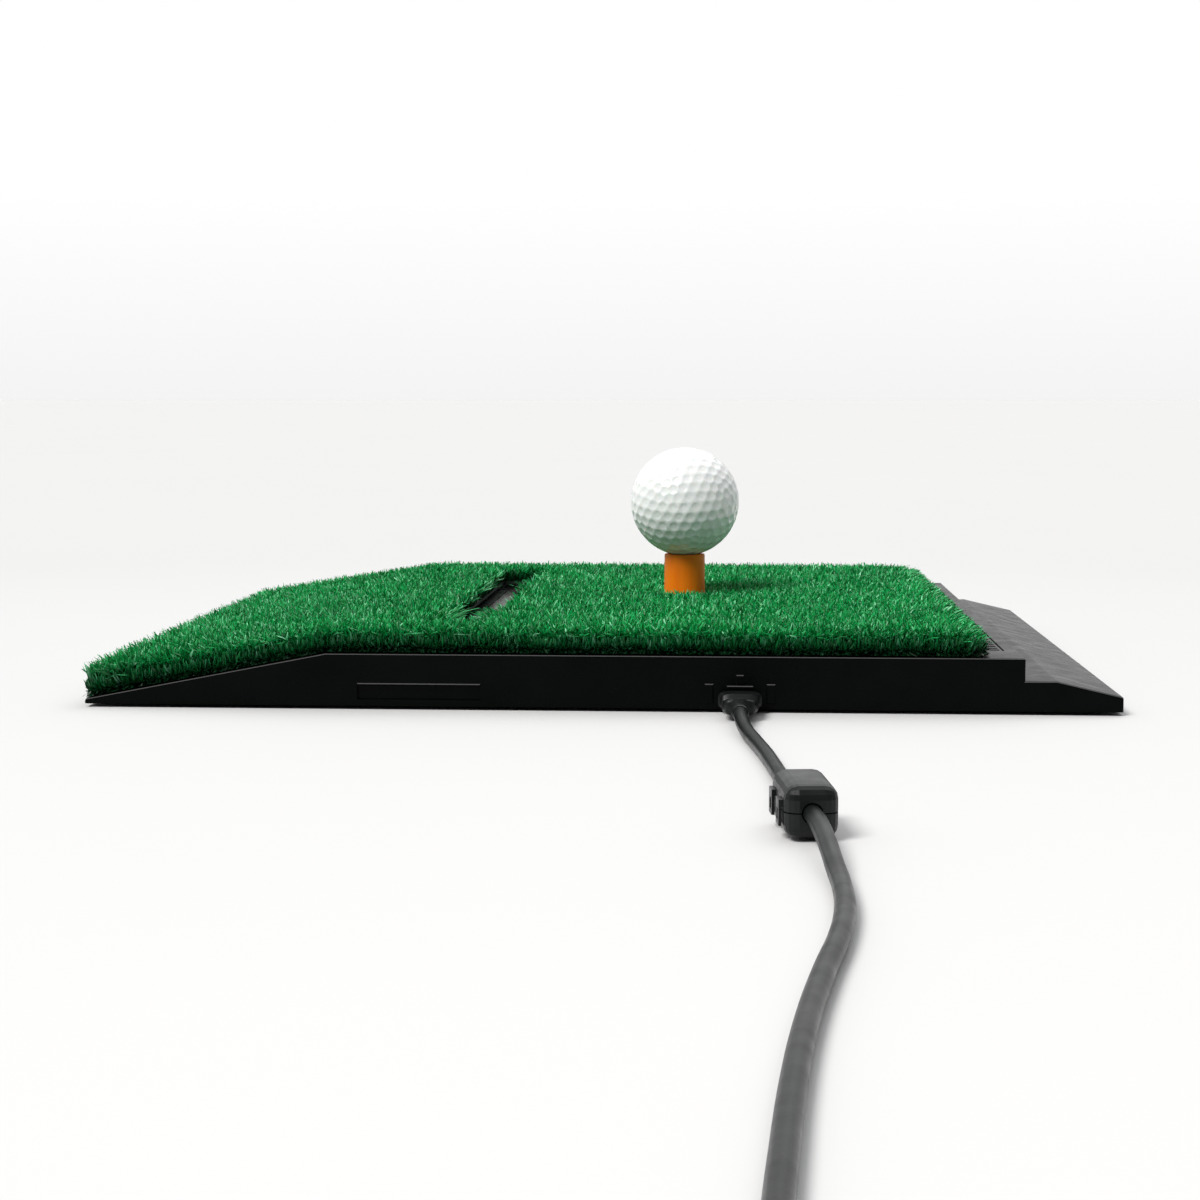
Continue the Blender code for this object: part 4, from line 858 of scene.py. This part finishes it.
def straight_sections(start, direction, across, profile):
    """Sections along a line; profile is (distance, half across, half up)."""
    up = (0, 0, 1)
    return [(Vector(start) + Vector(direction) * d, a, u, across, up) for d, a, u in profile]


def ribbed(profile_start, profile_end, count, across, up, drop):
    """Grip ribs between two distances, as (distance, half across, half up)."""
    pitch = (profile_end - profile_start) / count
    rows = []
    for rib in range(count):
        base = profile_start + rib * pitch
        for share, inset in ((0.0, 0.0), (0.42, 0.0), (0.55, drop), (0.87, drop)):
            rows.append((base + share * pitch, across - inset, up - inset))
    return rows


def bend_relief(length, plug_radius, lead_radius):
    """A ringed sleeve that narrows from the plug to the lead, as (distance, half across, half up)."""
    rings = 5
    pitch = (length - 0.0012) / rings
    rows = [(0.0, plug_radius - 0.0003), (0.0003, plug_radius)]
    for ring in range(rings):
        base = 0.0006 + ring * pitch
        radius = plug_radius + (lead_radius - plug_radius) * (ring + 0.5) / rings
        for share, inset in ((0.0, 0.0), (0.58, 0.0), (0.66, 0.00045), (0.92, 0.00045)):
            rows.append((base + share * pitch, radius - inset))
    rows += [(length - 0.0005, lead_radius), (length, lead_radius - 0.0002)]
    return [(distance, radius, radius) for distance, radius in rows]


def place_on_lead(mesh, node):
    return place_mesh(mesh.name, mesh, "usb_lead", "lead_jacket", node)


def make_mini_plug():
    """Grip and bend relief, from the port towards the near side."""
    away, across = (0, -1, 0), (1, 0, 0)
    rows = [(0.0, 0.0068, 0.0025), (0.0004, 0.0072, 0.0029), (0.0034, 0.0072, 0.0029),
            (0.0040, 0.0064, 0.0026), (0.0052, 0.0060, 0.0025)]
    rows += ribbed(0.0058, 0.0166, 5, 0.0060, 0.0026, 0.0004)
    rows += [(0.0170, 0.0057, 0.0026), (0.0190, 0.0050, 0.0026), (0.0197, 0.0046, 0.0025),
             (PLUG_LENGTH, 0.0042, 0.0022)]
    front = (PORT_X, PLUG_FRONT_Y, PORT_Z)
    grip = loft_mesh("mini_plug_grip", straight_sections(front, away, across, rows))

    rows = bend_relief(RELIEF_LENGTH, 0.0034, 0.0027)
    back = (PORT_X, PLUG_END_Y - 0.0003, PORT_Z)
    relief = loft_mesh("mini_plug_bend_relief", straight_sections(back, away, across, rows),
                       power=2.0, segments=32)
    return [place_on_lead(grip, "mini_plug_body"), place_on_lead(relief, "mini_plug_relief")]


def make_usb_a_plug():
    """Grip and bend relief, both set out from their right-hand ends in the CAD."""
    away, across = (-1, 0, 0), (0, 1, 0)
    low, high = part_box("usb_a_body")
    start = Vector((high.x, (low.y + high.y) / 2, (low.z + high.z) / 2))
    length = high.x - low.x
    rows = [(0.0, 0.0052, 0.0028), (0.0006, 0.0060, 0.0032), (0.0030, 0.0068, 0.0036)]
    rows += ribbed(0.0040, 0.0150, 5, 0.0074, 0.0039, 0.0004)
    rows += [(0.0160, 0.0078, 0.0040), (0.0180, 0.0080, 0.0041), (length - 0.0005, 0.0080, 0.0041),
             (length, 0.0076, 0.0037)]
    grip = loft_mesh("usb_a_grip", straight_sections(start, away, across, rows), power=5.0)

    low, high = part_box("usb_a_relief")
    length = high.x - low.x
    rows = [(length - d, a, u) for d, a, u in reversed(bend_relief(length, 0.0036, 0.0027))]
    relief = loft_mesh("usb_a_bend_relief", straight_sections(
        (high.x, start.y, start.z), away, across, rows), power=2.0, segments=32)
    return [place_on_lead(grip, "usb_a_body"), place_on_lead(relief, "usb_a_relief")]


# ---------------------------------------------------------------- the scene
CAD_SHARP_ANGLE = 32        # degrees between faces

MATERIALS = make_materials()
make_camera()
make_studio()
for row in frame["record"]["subparts"]:
    mesh = frame["nodes"][row["node"]].data
    mesh.shade_smooth()
    mesh.set_sharp_from_angle(angle=math.radians(CAD_SHARP_ANGLE))
    mesh.materials.clear()
    mesh.materials.append(MATERIALS[row["material_slot"]])
lead = make_lead()
plugs = make_mini_plug() + make_usb_a_plug()
make_turf()
make_ball()
make_tee()
